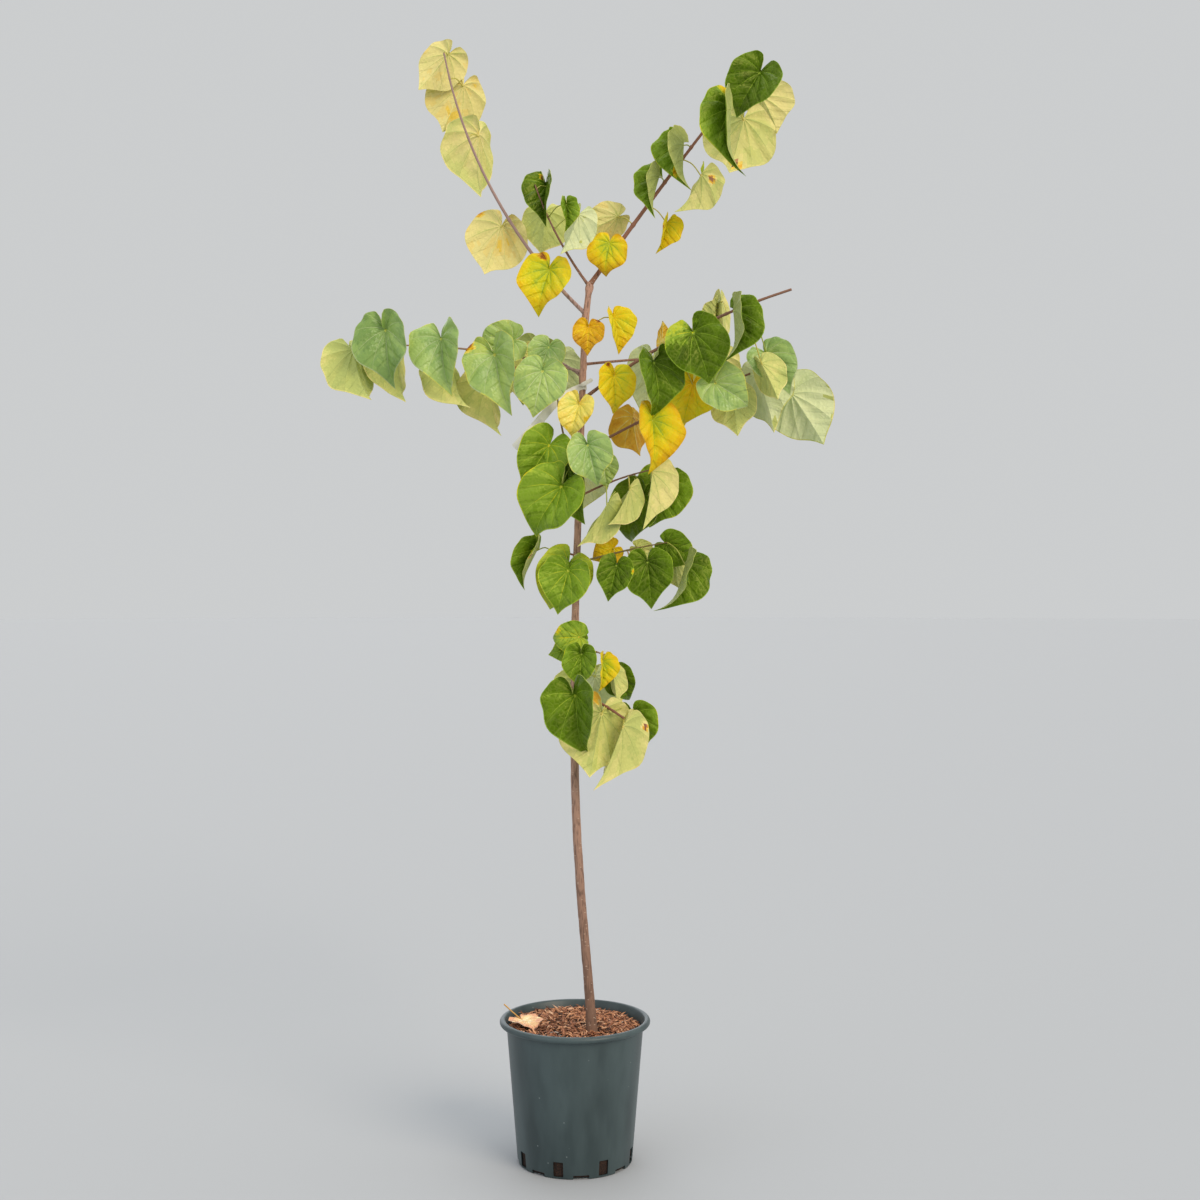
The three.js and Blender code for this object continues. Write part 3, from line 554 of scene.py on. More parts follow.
# The leaves in view, under each shoot's name: where the petiole meets the blade, right, back and up
# from the shoot's foot; the blade's length; its tip's lean to the right; how far its upper side is
# turned from the front; its fold, or 0 where the rule gives it; its tints at heart and rim, and
# whether they are cool, which also paints sheen on the upper side; and a mark's tint, how far out it
# lies, its angle from the tip and its size.
LEAVES = """
top_left
-69 -14 83 96 -18 14 28 citron yellow rust 0.75 128 0.08
-163 20 172 108 -18 176 20 lemon lemon amber 1 -105 0.07
-207 38 352 130 -4 145 40 lemon lime
-239 66 456 110 -24 160 24 lemon lemon
-266 42 508 92 -36 180 30 citron lemon
top_middle
-82 -4 190 84 -6 28 52 green dark burnt 0.55 140 0.07
-84 46 152 92 -6 180 0 fresh lime
-20 -40 126 84 -20 205 48 fresh fresh cool
-43 -66 140 50 8 -28 50 green fresh
top_right
38 -30 73 68 -12 12 0 citron gold
54 16 134 72 -62 165 30 citron lemon
148 18 123 62 -11 -35 50 lemon yellow rust 0.9 60 0.05
211 -24 204 94 -24 225 45 lime citron blush 0.42 82 0.08
132 -20 202 84 -16 58 62 green fresh
178 -20 262 104 -4 58 68 green fresh amber 0.8 12 0.08
262 -84 309 128 -4 38 68 green fresh yellow 0.85 150 0.12
296 34 326 130 -14 185 22 lime citron burnt 0.85 4 0.07
319 -48 388 98 -32 10 30 dark green
336 84 384 100 22 212 25 citron lemon
left
-65 -12 46 66 -20 0 0 green fresh cool
-75 -54 -5 90 -12 0 0 fresh fresh cool
-120 60 46 95 -8 170 0 lime citron rust 0.45 -12 0.04
-166 -26 30 116 9 22 34 fresh fresh cool blush 1 112 0.1
-134 12 62 80 -72 0 0 fresh fresh cool
-182 36 -12 118 6 137 43 lime citron
-267 -25 60 113 4 24 36 green fresh cool
-250 8 19 120 9 135 45 lime lime
-372 -22 77 114 2 22 34 green green cool
-358 38 55 122 2 135 45 lime lime
-438 4 42 120 14 142 40 fresh lime
centre
8 -56 18 54 -2 0 0 gold amber burnt 1 -120 0.08
55 -22 41 72 13 -38 40 lemon yellow
right_upper
60 -34 42 74 5 -18 28 lemon yellow rust 0.8 140 0.05
150 -30 104 40 172 150 40 yellow gold
134 -58 63 106 12 -34 32 dark green
207 -76 116 106 19 0 0 dark green citron 0.95 128 0.3
281 -80 156 107 5 -44 62 dark green
266 20 192 92 3 180 70 lime citron
254 30 160 46 178 215 40 lime lime
250 -38 28 86 56 0 24 fresh fresh cool
211 10 33 92 -14 0 0 yellow lemon
350 -8 86 87 33 -10 25 fresh green cool
336 -52 62 84 24 200 50 lime lime
right_lower
101 30 72 86 6 150 40 gold gold
136 -34 60 108 5 -28 40 citron gold
177 52 100 60 20 0 0 citron lemon
292 24 118 86 5 180 0 fresh lime
339 34 153 116 21 212 35 fresh fresh cool
410 72 122 122 33 195 0 fresh fresh cool
middle_left
0 -52 134 70 -15 12 34 lemon yellow cool
-56 -44 58 102 -32 0 34 fresh fresh
16 -86 55 82 14 0 28 green fresh cool
-32 -76 -21 120 -34 18 30 fresh fresh citron 1 80 0.07
-24 -20 26 118 8 30 35 dark green
middle_right
54 -88 -18 108 -32 200 70 fresh lime
96 -54 11 96 -25 200 68 lime lime
122 30 4 104 -22 20 30 green green
139 -26 45 106 -6 215 58 citron citron
166 60 34 104 -18 0 0 green fresh
46 -16 65 52 8 0 0 fresh fresh cool
lower_right
70 20 29 50 -60 0 0 yellow gold
75 -52 -5 68 -13 0 0 dark green gold 1 -80 0.07
134 -24 2 88 5 0 0 dark green
206 -14 -2 106 -14 -50 55 dark green
173 14 37 66 60 20 0 green fresh
115 36 31 42 60 180 0 lime lime
120 6 12 50 25 180 0 lime citron
189 26 7 60 0 160 0 lime lime
101 20 5 45 25 0 0 gold amber
lower_left
-75 6 12 88 -27 31 69 green fresh rust 0.62 -58 0.12
-15 -58 -29 92 -16 8 28 fresh fresh
-16 -26 -16 102 -22 0 0 fresh citron
low_upper
9 -46 22 58 -88 0 0 lime fresh yellow 1 20 0.12
10 -28 7 64 -72 0 0 fresh fresh
14 -70 -8 66 -5 14 30 green fresh
52 -36 -24 60 3 -38 52 citron yellow
72 -8 -46 62 10 200 62 lime lime
78 34 -52 62 28 0 0 green green
low
3 -86 -3 118 4 25 38 green green
51 -58 -39 134 -11 180 28 lime citron gold 0.8 -150 0.14
91 -92 -60 132 -20 205 65 lime citron rust 0.85 103 0.05
111 0 -45 84 12 0 0 green fresh
"""
# On the far side of the trunk leaves spring by rule, to one side and the other: sizes and tints
REAR_LEAVES = {
    "back_upper": ((82, 108), "green fresh lime green citron fresh"),
    "back_left": ((85, 110), "green green fresh lime green"),
    "back_middle": ((78, 100), "fresh lemon green dark"),
    "back_low": ((80, 100), "green fresh lime"),
}
GAP = 0.3  # between neighbouring solids
PETIOLE_SPRING = 9  # no petiole springs nearer the foot of its twig
FOLDS = (14, 30)  # of a blade along its midrib, in degrees
CURLS = (0.05, 0.16)  # of a blade away from its face
Leaf = namedtuple("Leaf", "joint blade fold curl along face tint cool marks")
leaf_rows = {}
for row in LEAVES.strip().splitlines():
    if row in SHOOTS:
        leaf_rows[row] = rows = []
    else:
        rows.append(row.split())


def shoot_route(shoot):
    steps = 10
    bearing = math.radians(shoot.bearing)
    low, high = shoot.rise
    points = [trunk_at(shoot.height)]
    for i in range(steps):
        rise = math.radians(low + (high - low) * (i + 0.5) / steps)
        level = math.cos(rise)
        way = np.array([level * math.cos(bearing), level * math.sin(bearing), math.sin(rise)])
        points.append(points[-1] + way * shoot.length / steps)
    return smooth_route(points)


def seeded(seed):
    """The same draws in the same order on every run."""
    state = seed

    def draw(low, high):
        nonlocal state
        state = state * 48271 % 2147483647
        return low + (high - low) * state / 2147483647

    return draw


def hung_leaf(joint, blade, fold, curl, lean, turn, pitch, tint, cool, marks=()):
    """A leaf, and which way it points and faces from its lean, its turn and how far its tip
    comes forward."""
    lean, turn, pitch = np.radians([lean, turn, pitch])
    hang = math.cos(pitch)
    along = np.array([math.sin(lean) * hang, -math.sin(pitch), -math.cos(lean) * hang])
    face = np.array([0, -1.0, 0])
    face = unit(face - along * (face @ along))
    face = face * math.cos(turn) + np.cross(along, face) * math.sin(turn)
    return Leaf(joint, blade, fold, curl, along, face, tint, cool, marks)


def placed_leaves(shoot, seed):
    draw = seeded(seed)
    foot = trunk_at(shoot.height)
    for row in leaf_rows[shoot.name]:
        *joint, blade, lean, turn, fold = map(int, row[:7])
        fold = fold or draw(*FOLDS)
        curl, pitch = draw(*CURLS), draw(2, 20)
        marks = [(row[-4], *map(float, row[-3:]))] if len(row) > 10 else []
        cool = "cool" in row
        yield hung_leaf(foot + joint, blade, fold, curl, lean, turn, pitch, row[7:9], cool, marks)


def sprung_leaves(shoot, stem, seed):
    draw = seeded(seed)
    bearing = math.radians(shoot.bearing)
    aside = np.array([-math.sin(bearing), math.cos(bearing), 0])
    sizes, tints = REAR_LEAVES[shoot.name]
    springs = len(tints.split())
    for i, tint in enumerate(tints.split()):
        hand = 1 if i % 2 else -1
        joint = along_route(stem, (i + 0.9) / springs) + aside * hand * draw(22, 40)
        joint[2] += draw(-16, 2)
        blade, fold, curl = draw(*sizes), draw(*FOLDS), draw(*CURLS)
        lean, turn, pitch = hand * draw(0, 18), 180 + draw(-25, 25), draw(-20, -4)
        yield hung_leaf(joint, blade, fold, curl, lean, turn, pitch, (tint, tint), i % 3 == 0)


# The trunk's own mesh: a ring every 2 mm, swollen at each shoot's foot, and cut flat at the top
TRUNK_RING = 2
TRUNK_SIDES = 44
shoots = [Shoot(name, *row) for name, row in SHOOTS.items()]
parts = np.linspace(0, 1, int(trunk_length / TRUNK_RING))
centres = along_route(trunk_route, parts)
taper = TRUNK["radius_foot"] + (TRUNK["radius_top"] - TRUNK["radius_foot"]) * parts
radii = taper + TRUNK["flare"] * np.exp(-parts * trunk_length / TRUNK["flare_reach"])
radii = np.repeat(radii[:, None], TRUNK_SIDES, axis=1)
_, _, out = limb(centres, radii, TRUNK_SIDES)
for shoot in shoots:
    bearing = math.radians(shoot.bearing)
    near = np.exp(-(((centres[:, 2] - shoot.height + 4) / 8) ** 2))
    facing = np.clip(out @ np.array([math.cos(bearing), math.sin(bearing), 0]), 0, 1) ** 2
    radii += (0.6 + 0.45 * shoot.radius[0]) * near[:, None] * facing
trunk_bark = bark_material("young grey-brown bark", BARK_COLOURS, BARK_DARK, 0.0006)
points, faces = barked_limb(centres, radii, TRUNK_SIDES, 0.15, 0.22, 21)
trunk = mesh_object("trunk_bark", points, faces, [trunk_bark])
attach(trunk, "root")
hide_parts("trunk")


# Boughs. The leafless feet of the shoots are thin round limbs with smooth bark, each swollen
# where it leaves the trunk.
SHOOT_BARKS = {  # near the ground, a third of the way up, at the top; the fissures
    "pale": (("#8d7065", "#a0837a", "#ad9189"), "#634b43"),
    "red": (("#80543f", "#8e6049", "#9a6c54"), "#502f22"),
    "dark": (("#7a5644", "#8a6450", "#9a7260"), "#4c352b"),
    "green": (("#6d5a34", "#7b6a3c", "#84744a"), "#4a3a24"),
}
BOUGH_SIDES = 18
shoot_barks = {
    name: bark_material(f"shoot bark {name}", colours, dark, 0.0003)
    for name, (colours, dark) in SHOOT_BARKS.items()
}


def shoot_radius(shoot, parts):
    thick, thin = shoot.radius
    return thick + (thin - thick) * parts


for number, shoot in enumerate(shoots):
    if shoot.bare > 0:
        parts = np.linspace(0, shoot.bare, max(30, int(shoot.bare * shoot.length / 1.5)))
        centres = along_route(shoot_route(shoot), parts)
        radii = shoot_radius(shoot, parts)
        radii = radii + 0.35 * radii[0] * np.exp(-parts * shoot.length / 9)
        points, faces = barked_limb(centres, radii, BOUGH_SIDES, 0, 0.1, 60 + 2 * number)
        bough = mesh_object("bough_bark_" + shoot.name, points, faces, [shoot_barks[shoot.bark]])
        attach(bough, "root")
        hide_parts("bough_" + shoot.name)


# Leaves. Thin heart-shaped blades, smooth and satin above, paler and matt below, with five to
# nine main veins from the petiole's end. In autumn the green gives way to yellow, then to gold.
AGES = {  # how far a tint has gone from green to gold and on to brown
    "dark": 0.1, "green": 0.2, "fresh": 0.32, "lime": 0.45, "citron": 0.55, "lemon": 0.67,
    "yellow": 0.77, "gold": 0.88, "amber": 1.0, "blush": 1.12, "rust": 1.2, "burnt": 1.32,
}
AGE_STEP = 0.06  # from each of these tints to the next
UPPER_TINTS = (
    "#304805 #395306 #436007 #4e6c09 #5b7a10 #6a8b1c #7a9a29 #8ca833 #9eb336 #b0bb2c #c6c41c "
    "#d8ca1e #e2ca1c #e6c418 #e3b713 #dba811 #d09a12 #c38a16 #b2731e #9a5624 #803c20 #622a18"
).split()
# The cool greens are partly a cooler green and partly painted sheen: paler and greyer, as a blade looks
# where it catches the sky's reflection
COOL_SHEEN_TINTS = (
    "#587630 #66863c #749548 #82a353 #90af5c #9eba63 #aac366 #b5c75e #bfca58 #cbce58 #dad45a "
    "#e8da62 #eedc62 #f0d558"
).split()
LOWER_TINTS = (
    "#8a9a52 #92a056 #99a65a #a0ac5e #a7b262 #aeb865 #b5be68 #bec46c #cacb73 #d6d17c #e2d786 "
    "#e8da8a #e9d37c #ecca50 #e9bd3a #e4ae2a #dca01e #cf8c1c #b27e50 #a06c52 #84492a #5a2c1c"
).split()
COOL_LOWER_TINTS = "#a6b77e #b0c088 #bac991 #c4d099 #cdd7a0 #d5dda6 #dce2ab".split()
RIM_COLOUR = "#c3c866"
UPPER_VEIN, LOWER_VEIN_AND_SHADOW = "#b9c26a", "#8c9650"  # the veinlets' colour: their own above, and below darker, partly as painted shadow along the raised veins
VEINLET_SHARE = 0.08  # of that colour in the blade's, along a veinlet
THREAD_SHARE = 0.12  # and along a side vein
WAX_COLOURS = ("#e2e67a", "#ffffff")  # of the gloss on the warm greens and on the cool ones
VEIN_AGING = 0.24  # how much further than a green blade its veins have turned
RIM_AGING, HEART_AGING = 0.2, 0.25  # and its margin and its heart
RIM_PLACE = 0.98
VEIN_ANGLES = (0, 24, 52, 88, 130)  # degrees from the tip at the margin, on either side
RAYS_BETWEEN = (3, 4, 5, 5, 6)
RING_PLACES = np.array([0.05, 0.12, 0.2, 0.29, 0.38, 0.47, 0.56, 0.65, 0.73, 0.81, 0.88, 0.94, 0.975, 1])
BLADE_THICKNESS = 0.5
VEIN_WIDTHS = (2.4, 1.8)  # of midrib and other veins near the petiole, drawn wide so that they show
VEIN_SWEEP = 0.35  # how much wider than at the margin a vein leaves the petiole, in radians
TIP_BEND = 0.5  # where the tip begins to bend back, of the blade's length
MIDRIB_ROUND = 2.4  # how softly the blade is creased along its midrib
BLADE_CREASE = 60

# The rays of a blade, round from the notch by the tip to the notch: the angle of each, which
# edge of a vein it is (-1, 0, 1), that vein's number, and how far it lies from the veins beside it
one_side = []
for number, (angle, after) in enumerate(zip(VEIN_ANGLES, [*VEIN_ANGLES[1:], 180])):
    one_side += [(angle, edge, number, 0) for edge in (-1, 0, 1)]
    for part in np.arange(1, RAYS_BETWEEN[number] + 1) / (RAYS_BETWEEN[number] + 1):
        one_side.append((angle + part * (after - angle), 0, -1, math.sin(math.pi * part)))
one_side.append((180, 0, -1, 0))
other_side = [(-a, -e, n + 10 * (n > 0), g) for a, e, n, g in one_side[3:-1]]
rays = [*other_side[::-1], *one_side]
RAY_ANGLES, RAY_EDGES, RAY_VEINS, RAY_GAPS = (np.array(column, float) for column in zip(*rays))
RAY_ANGLES = np.radians(RAY_ANGLES)
RAYS, RINGS = len(rays), len(RING_PLACES)
SIDE_POINTS = 1 + RAYS * RINGS


def heart(angles):
    """The radius of a heart-shaped outline about the petiole's end, as a part of its length."""
    body = 0.54 + 0.19 * np.cos(angles) - 0.04 * np.cos(angles) ** 2
    tip = 0.3 * np.exp(-np.abs(angles) / math.radians(12.5))
    cheeks = 0.055 * np.exp(-(((np.abs(angles) - math.radians(42)) / math.radians(24)) ** 2))
    notch = 1 - 0.94 * np.exp(-(((math.pi - np.abs(angles)) / math.radians(14)) ** 2))
    return (body + tip + cheeks) * notch


# Faces of a blade: its upper side and its underside, each a fan and rings, and its thin edge
ray = np.arange(RAYS)
after_ray = (ray + 1) % RAYS
rings = [(at + ray, at + after_ray) for at in 1 + RAYS * np.arange(RINGS)]
here, there = rings[-1]
upper_faces = np.vstack(
    [np.stack([0 * ray, *rings[0][::-1], 0 * ray - 1], axis=1)]
    + [np.stack([*ring, *beyond[::-1]], axis=1) for ring, beyond in zip(rings, rings[1:])]
)
flipped = upper_faces[:, [0, 3, 2, 1]]
lower_faces = np.where(flipped < 0, -1, SIDE_POINTS + flipped)
edge_faces = np.stack([SIDE_POINTS + here, SIDE_POINTS + there, there, here], axis=1)
BLADE_FACES = np.vstack([upper_faces, lower_faces, edge_faces])
# For each face of a side, how far out it lies, at what angle, and whether it is part of a vein
mid_places = (RING_PLACES[1:] + RING_PLACES[:-1]) / 2
face_places = np.concatenate([np.full(RAYS, 0.03), np.repeat(mid_places, RAYS)])
mid_angles = np.where(after_ray > 0, (RAY_ANGLES + RAY_ANGLES[after_ray]) / 2, math.pi)
on_vein = (RAY_VEINS >= 0) & (RAY_VEINS == RAY_VEINS[after_ray])
mid_gaps = (RAY_GAPS + RAY_GAPS[after_ray]) / 2
face_angles, face_veins, face_gaps = (np.tile(row, RINGS) for row in (mid_angles, on_vein, mid_gaps))


def blade_points(leaf, seed):
    """A blade's points above and below, and their places in its own plane, in blade lengths."""
    draw = np.random.default_rng(seed)
    length = leaf.blade
    shift = draw.uniform(0, 2 * math.pi, 4)
    uneven = 1 + 0.035 * np.sin(3 * RAY_ANGLES + shift[0]) + 0.018 * np.sin(8 * RAY_ANGLES + shift[1])
    edge = length * heart(RAY_ANGLES) * uneven
    place = RING_PLACES[:, None]
    angle = RAY_ANGLES + VEIN_SWEEP * np.sin(RAY_ANGLES) * (1 - place)
    radius = place * edge
    half = np.where(RAY_VEINS == 0, VEIN_WIDTHS[0], VEIN_WIDTHS[1]) / 2 * (1 - 0.75 * place)
    half = np.minimum(half, 0.04 * radius) * RAY_EDGES
    a = radius * np.cos(angle) - half * np.sin(angle)
    b = radius * np.sin(angle) + half * np.cos(angle)
    wing = math.radians(leaf.fold) * (1.15 - 0.175 * np.abs(b) / (0.55 * length))
    soft = np.sqrt(b**2 + MIDRIB_ROUND**2) - MIDRIB_ROUND
    lift = soft * np.sin(wing) - leaf.curl * (a**2 + b**2) / length
    # The tip bends back, most on the blades that face the light
    bend = draw.uniform(1, 3.4) if leaf.face[1] < 0 else draw.uniform(0.1, 1.2)
    turned_back = bend * np.clip(a / length - TIP_BEND, 0, 1)
    a = np.where(turned_back > 0, length * (TIP_BEND + np.sin(turned_back) / bend), a)
    lift = lift - length * (1 - np.cos(turned_back)) / bend
    # The margin waves, the lobes at the notch curl, and the blade swells between its veins
    wave = 0.03 * place**3 * np.sin(5 * RAY_ANGLES + shift[2])
    wave = wave + 0.016 * place**4 * np.sin(11 * RAY_ANGLES + shift[3])
    lobes = draw.uniform(-0.1, 0.14, 2)
    near_notch = np.clip((np.abs(RAY_ANGLES) - 1.9) / 0.9, 0, 1)
    curl = np.where(RAY_ANGLES > 0, *lobes) * near_notch * place**2
    swell = 0.11 * RAY_GAPS * place * (1.05 - place)
    lift = lift + length * (wave + curl + swell)
    across = (b * np.cos(wing))[:, :, None] * np.cross(leaf.along, leaf.face)
    middle = leaf.joint + a[:, :, None] * leaf.along + across + lift[:, :, None] * leaf.face
    outward = np.gradient(middle, axis=0)
    round_way = np.roll(middle, -1, axis=1) - np.roll(middle, 1, axis=1)
    normal = np.cross(round_way, outward)
    normal /= np.linalg.norm(normal, axis=2)[:, :, None] + 1e-9
    rib = np.where((RAY_VEINS >= 0) & (RAY_EDGES == 0), 0.45, 0) * (1 - 0.7 * place)
    above = (middle + normal * BLADE_THICKNESS / 2).reshape(-1, 3)
    below = (middle - normal * (BLADE_THICKNESS / 2 + rib)[:, :, None]).reshape(-1, 3)
    lifted = leaf.face * BLADE_THICKNESS / 2
    points = np.vstack([leaf.joint + lifted, above, leaf.joint - lifted, below])
    flat = np.vstack([[0, 0], np.stack([a, b], axis=2).reshape(-1, 2) / length])
    return points, np.vstack([flat, flat])


def face_ages(leaf, seed):
    """How far each face of a blade's side has turned: from heart to rim, in clouds, with marks."""
    heart_age, rim_age = (AGES[tint] for tint in leaf.tint)
    size = heart(face_angles) * face_places
    spots = np.stack([size * np.cos(face_angles), size * np.sin(face_angles), 0 * size], axis=1)
    age = heart_age + (rim_age - heart_age) * face_places**1.3
    age += 0.045 * ripples(spots, 0.55, seed) + 0.02 * ripples(spots, 0.16, seed + 1)
    age += 0.05 * (face_gaps - 0.6) * (1 if heart_age > 0.4 else -0.6)
    for tint, out, angle, reach in leaf.marks:
        angle = math.radians(angle)
        centre = heart(angle) * out * np.array([math.cos(angle), math.sin(angle), 0])
        away = np.linalg.norm(spots - centre, axis=1) / reach + 0.25 * ripples(spots, 0.08, seed + 2)
        age += (AGES[tint] - age) * np.clip(1.5 - away, 0, 1)
    return age


def ladder_steps(ages, ladder):
    return np.clip(np.round(ages / AGE_STEP), 0, len(ladder) - 1).astype(int)


def tint_numbers(ages, ladder, cool_ladder, cool):
    """The tint of each face: a step of a ladder of tints, the first steps cooler where asked."""
    steps = ladder_steps(ages, ladder)
    return np.where(cool & (steps < len(cool_ladder)), len(ladder) + steps, steps)


def leaf_surface(name, colour, vein_colour, roughness, wax_colour, relief):
    """A leaf's skin. Its side veins slant from the midrib, and a net of veinlets lies between."""
    made, shader, add = new_material(name, colour, roughness, 1.45)
    flat = add("SeparateXYZ", {"Vector": add("UVMap", uv_map="grain")}).outputs
    aside = add("Math", {0: flat["Y"]}, operation="ABSOLUTE")
    slant = add("Math", {0: aside, 1: -0.8, 2: flat["X"]}, operation="MULTIPLY_ADD")
    rungs = add("CombineXYZ", {"X": slant})
    # Side veins a quarter of the blade's length apart
    rungs = {"Vector": rungs, "Scale": 1.2, "Distortion": 3.4, "Detail Scale": 1.4}
    veins = add("TexWave", rungs).outputs["Fac"]
    # Each is a narrow crease between broad swells, and they begin a little out from the petiole
    swells = add("MapRange", {"Value": veins, "From Max": 0.5}, interpolation_type="SMOOTHSTEP")
    outward = add("MapRange", {"Value": flat["X"], "From Max": 0.3})
    swells = add("Math", {0: swells, 1: outward}, operation="MULTIPLY")
    # Veinlets, drawn 8 mm apart so that they show, and the colour that they lend the blade
    place = add("TexCoord").outputs["Object"]
    net = add("TexVoronoi", {"Vector": place, "Scale": 120.0}, feature="DISTANCE_TO_EDGE")
    lines = {"Value": net, "From Max": 0.16, "To Min": VEINLET_SHARE, "To Max": 0.0}
    lines = add("MapRange", lines)
    # The side veins are threads in the same colour: pale above, and darker below, there partly as
    # painted shadow
    threads = {"Value": veins, "From Max": 0.06, "To Min": THREAD_SHARE, "To Max": 0.0}
    threads = add("Math", {0: add("MapRange", threads), 1: outward}, operation="MULTIPLY")
    lines = add("Math", {0: threads, 1: lines}, operation="MAXIMUM")
    veined = add("Mix", {"Factor": lines, 6: linear(colour), 7: linear(vein_colour)}, data_type="RGBA")
    ribs = add("Bump", {"Height": swells, "Strength": 0.7, "Distance": 2.4 * relief})
    fine = add("Bump", {"Height": net, "Strength": 0.8, "Distance": 2.0 * relief, "Normal": ribs})
    bloom = add("TexNoise", {"Vector": place, "Scale": 60.0, "Detail": 2.0})
    satin = add("MapRange", {"Value": bloom, "To Min": roughness - 0.08, "To Max": roughness + 0.08})
    set_inputs(shader, {"Base Color": veined, "Roughness": satin, "Normal": fine})
    shader.inputs["Specular Tint"].default_value = linear(wax_colour)
    return made


uppers = [*UPPER_TINTS, *COOL_SHEEN_TINTS]
lowers = [*LOWER_TINTS, *COOL_LOWER_TINTS]
leaf_skins = [
    leaf_surface(f"leaf upper side {i + 1}", c, UPPER_VEIN, 0.33, WAX_COLOURS[c in COOL_SHEEN_TINTS], 0.0008)
    for i, c in enumerate(uppers)
]
leaf_skins += [
    leaf_surface(f"leaf underside {i + 1}", c, LOWER_VEIN_AND_SHADOW, 0.62, "#ffffff", -0.0008)
    for i, c in enumerate(lowers)
]
leaf_skins.append(leaf_surface("leaf rim", RIM_COLOUR, RIM_COLOUR, 0.55, "#ffffff", 0.0004))


def blade_lot(leaf, seed):
    """A whole blade: points, faces, paints and grain."""
    points, grain = blade_points(leaf, seed)
    ages = face_ages(leaf, seed)
    ages += np.where((face_places < 0.06) & (ages < 0.5), HEART_AGING, 0)
    vein_ages = ages + np.where(ages < 0.5, VEIN_AGING, -0.16) * (1 - 0.55 * face_places)
    ages[-RAYS:] += np.where(ages[-RAYS:] < 0.5, RIM_AGING, 0)
    above = tint_numbers(np.where(face_veins, vein_ages, ages), UPPER_TINTS, COOL_SHEEN_TINTS, leaf.cool)
    # Underside veins are a step greener and darker, partly as painted shadow along their raised ribs
    below = np.where(face_veins, ages - 0.12, ages)
    below = len(uppers) + tint_numbers(below, LOWER_TINTS, COOL_LOWER_TINTS, leaf.cool)
    # On a cool green blade the veins and the margin are nearly as pale as its underside
    pale = ladder_steps(vein_ages - VEIN_AGING - 0.1, COOL_LOWER_TINTS)
    on_line = leaf.cool & (ages < 0.5) & (face_veins | (face_places > RIM_PLACE))
    above = np.where(on_line, len(uppers) + len(LOWER_TINTS) + pale, above)
    paints = np.concatenate([above, below, np.full(RAYS, len(leaf_skins) - 1)])
    return points, BLADE_FACES, paints, grain


# Twigs and petioles. A twig is a year's growth with a small swelling, a bud and a leaf at each
# node. Petioles are slender and yellow-green, with a thickened joint at either end.
PETIOLE_RADII = (1.5, 1.15, 1.4)  # at the twig, halfway, at the blade
PETIOLE_COLOURS = {0.4: "#a9b04c", 0.8: "#c2b852", 9: "#c79a52"}  # by the age that each goes up to
BUD_COLOUR = "#5a2f22"
CUT_COLOUR = "#c9a88c"
TWIG_SIDES, PETIOLE_SIDES, BUD_SIDES = 10, 8, 7
BUD = (1.1, 3.2)  # radius and length

twig_skins = [  # grain about 1.5 mm on petioles, 1 mm on buds and cuts, 2 mm on bark
    *(
        grained_material(f"petiole {i + 1}", colour, 0.5, 1000.0 / 1.5, 0.6, 0.0002)
        for i, colour in enumerate(PETIOLE_COLOURS.values())
    ),
    grained_material("bud scales", BUD_COLOUR, 0.55, 1000.0, 0.6, 0.0002),
    grained_material("cut wood", CUT_COLOUR, 0.8, 1250.0, 0.6, 0.0003),
    *(
        grained_material(f"twig bark {name}", tones[1], 0.66, 500.0, 0.6, 0.0004)
        for name, (tones, _) in SHOOT_BARKS.items()
    ),
]
BUD_PAINT, CUT_PAINT, BARK_PAINT = 3, 4, 5


def bud_lot(base, way, scale=1):
    """A small pointed bud that stands out of a twig."""
    radii = scale * BUD[0] * np.array([0.5, 0.9, 1, 0.8, 0.45, 0.12])
    reach = scale * BUD[1] * np.array([0, 0.15, 0.4, 0.65, 0.85, 0.97])
    points, faces, _ = limb(base + unit(way) * reach[:, None], radii, BUD_SIDES)
    return points, faces, BUD_PAINT


def petiole_lot(root, leaf):
    """A petiole from its twig to its blade, thickened at both ends."""
    middle = (root + leaf.joint) / 2 + [0, 0, 0.12 * np.linalg.norm(leaf.joint - root)]
    route = smooth_route([root, middle, leaf.joint + 0.02 * leaf.blade * leaf.along])
    parts = np.linspace(0, 1, 22)
    base, waist, head = PETIOLE_RADII
    radii = waist + (base - waist) * np.exp(-((parts / 0.08) ** 2))
    radii = radii + (head - waist) * np.exp(-(((1 - parts) / 0.08) ** 2))
    points, faces, _ = limb(along_route(route, parts), radii, PETIOLE_SIDES, ends=0.6)
    return points, faces, sum(AGES[leaf.tint[0]] >= limit for limit in PETIOLE_COLOURS)


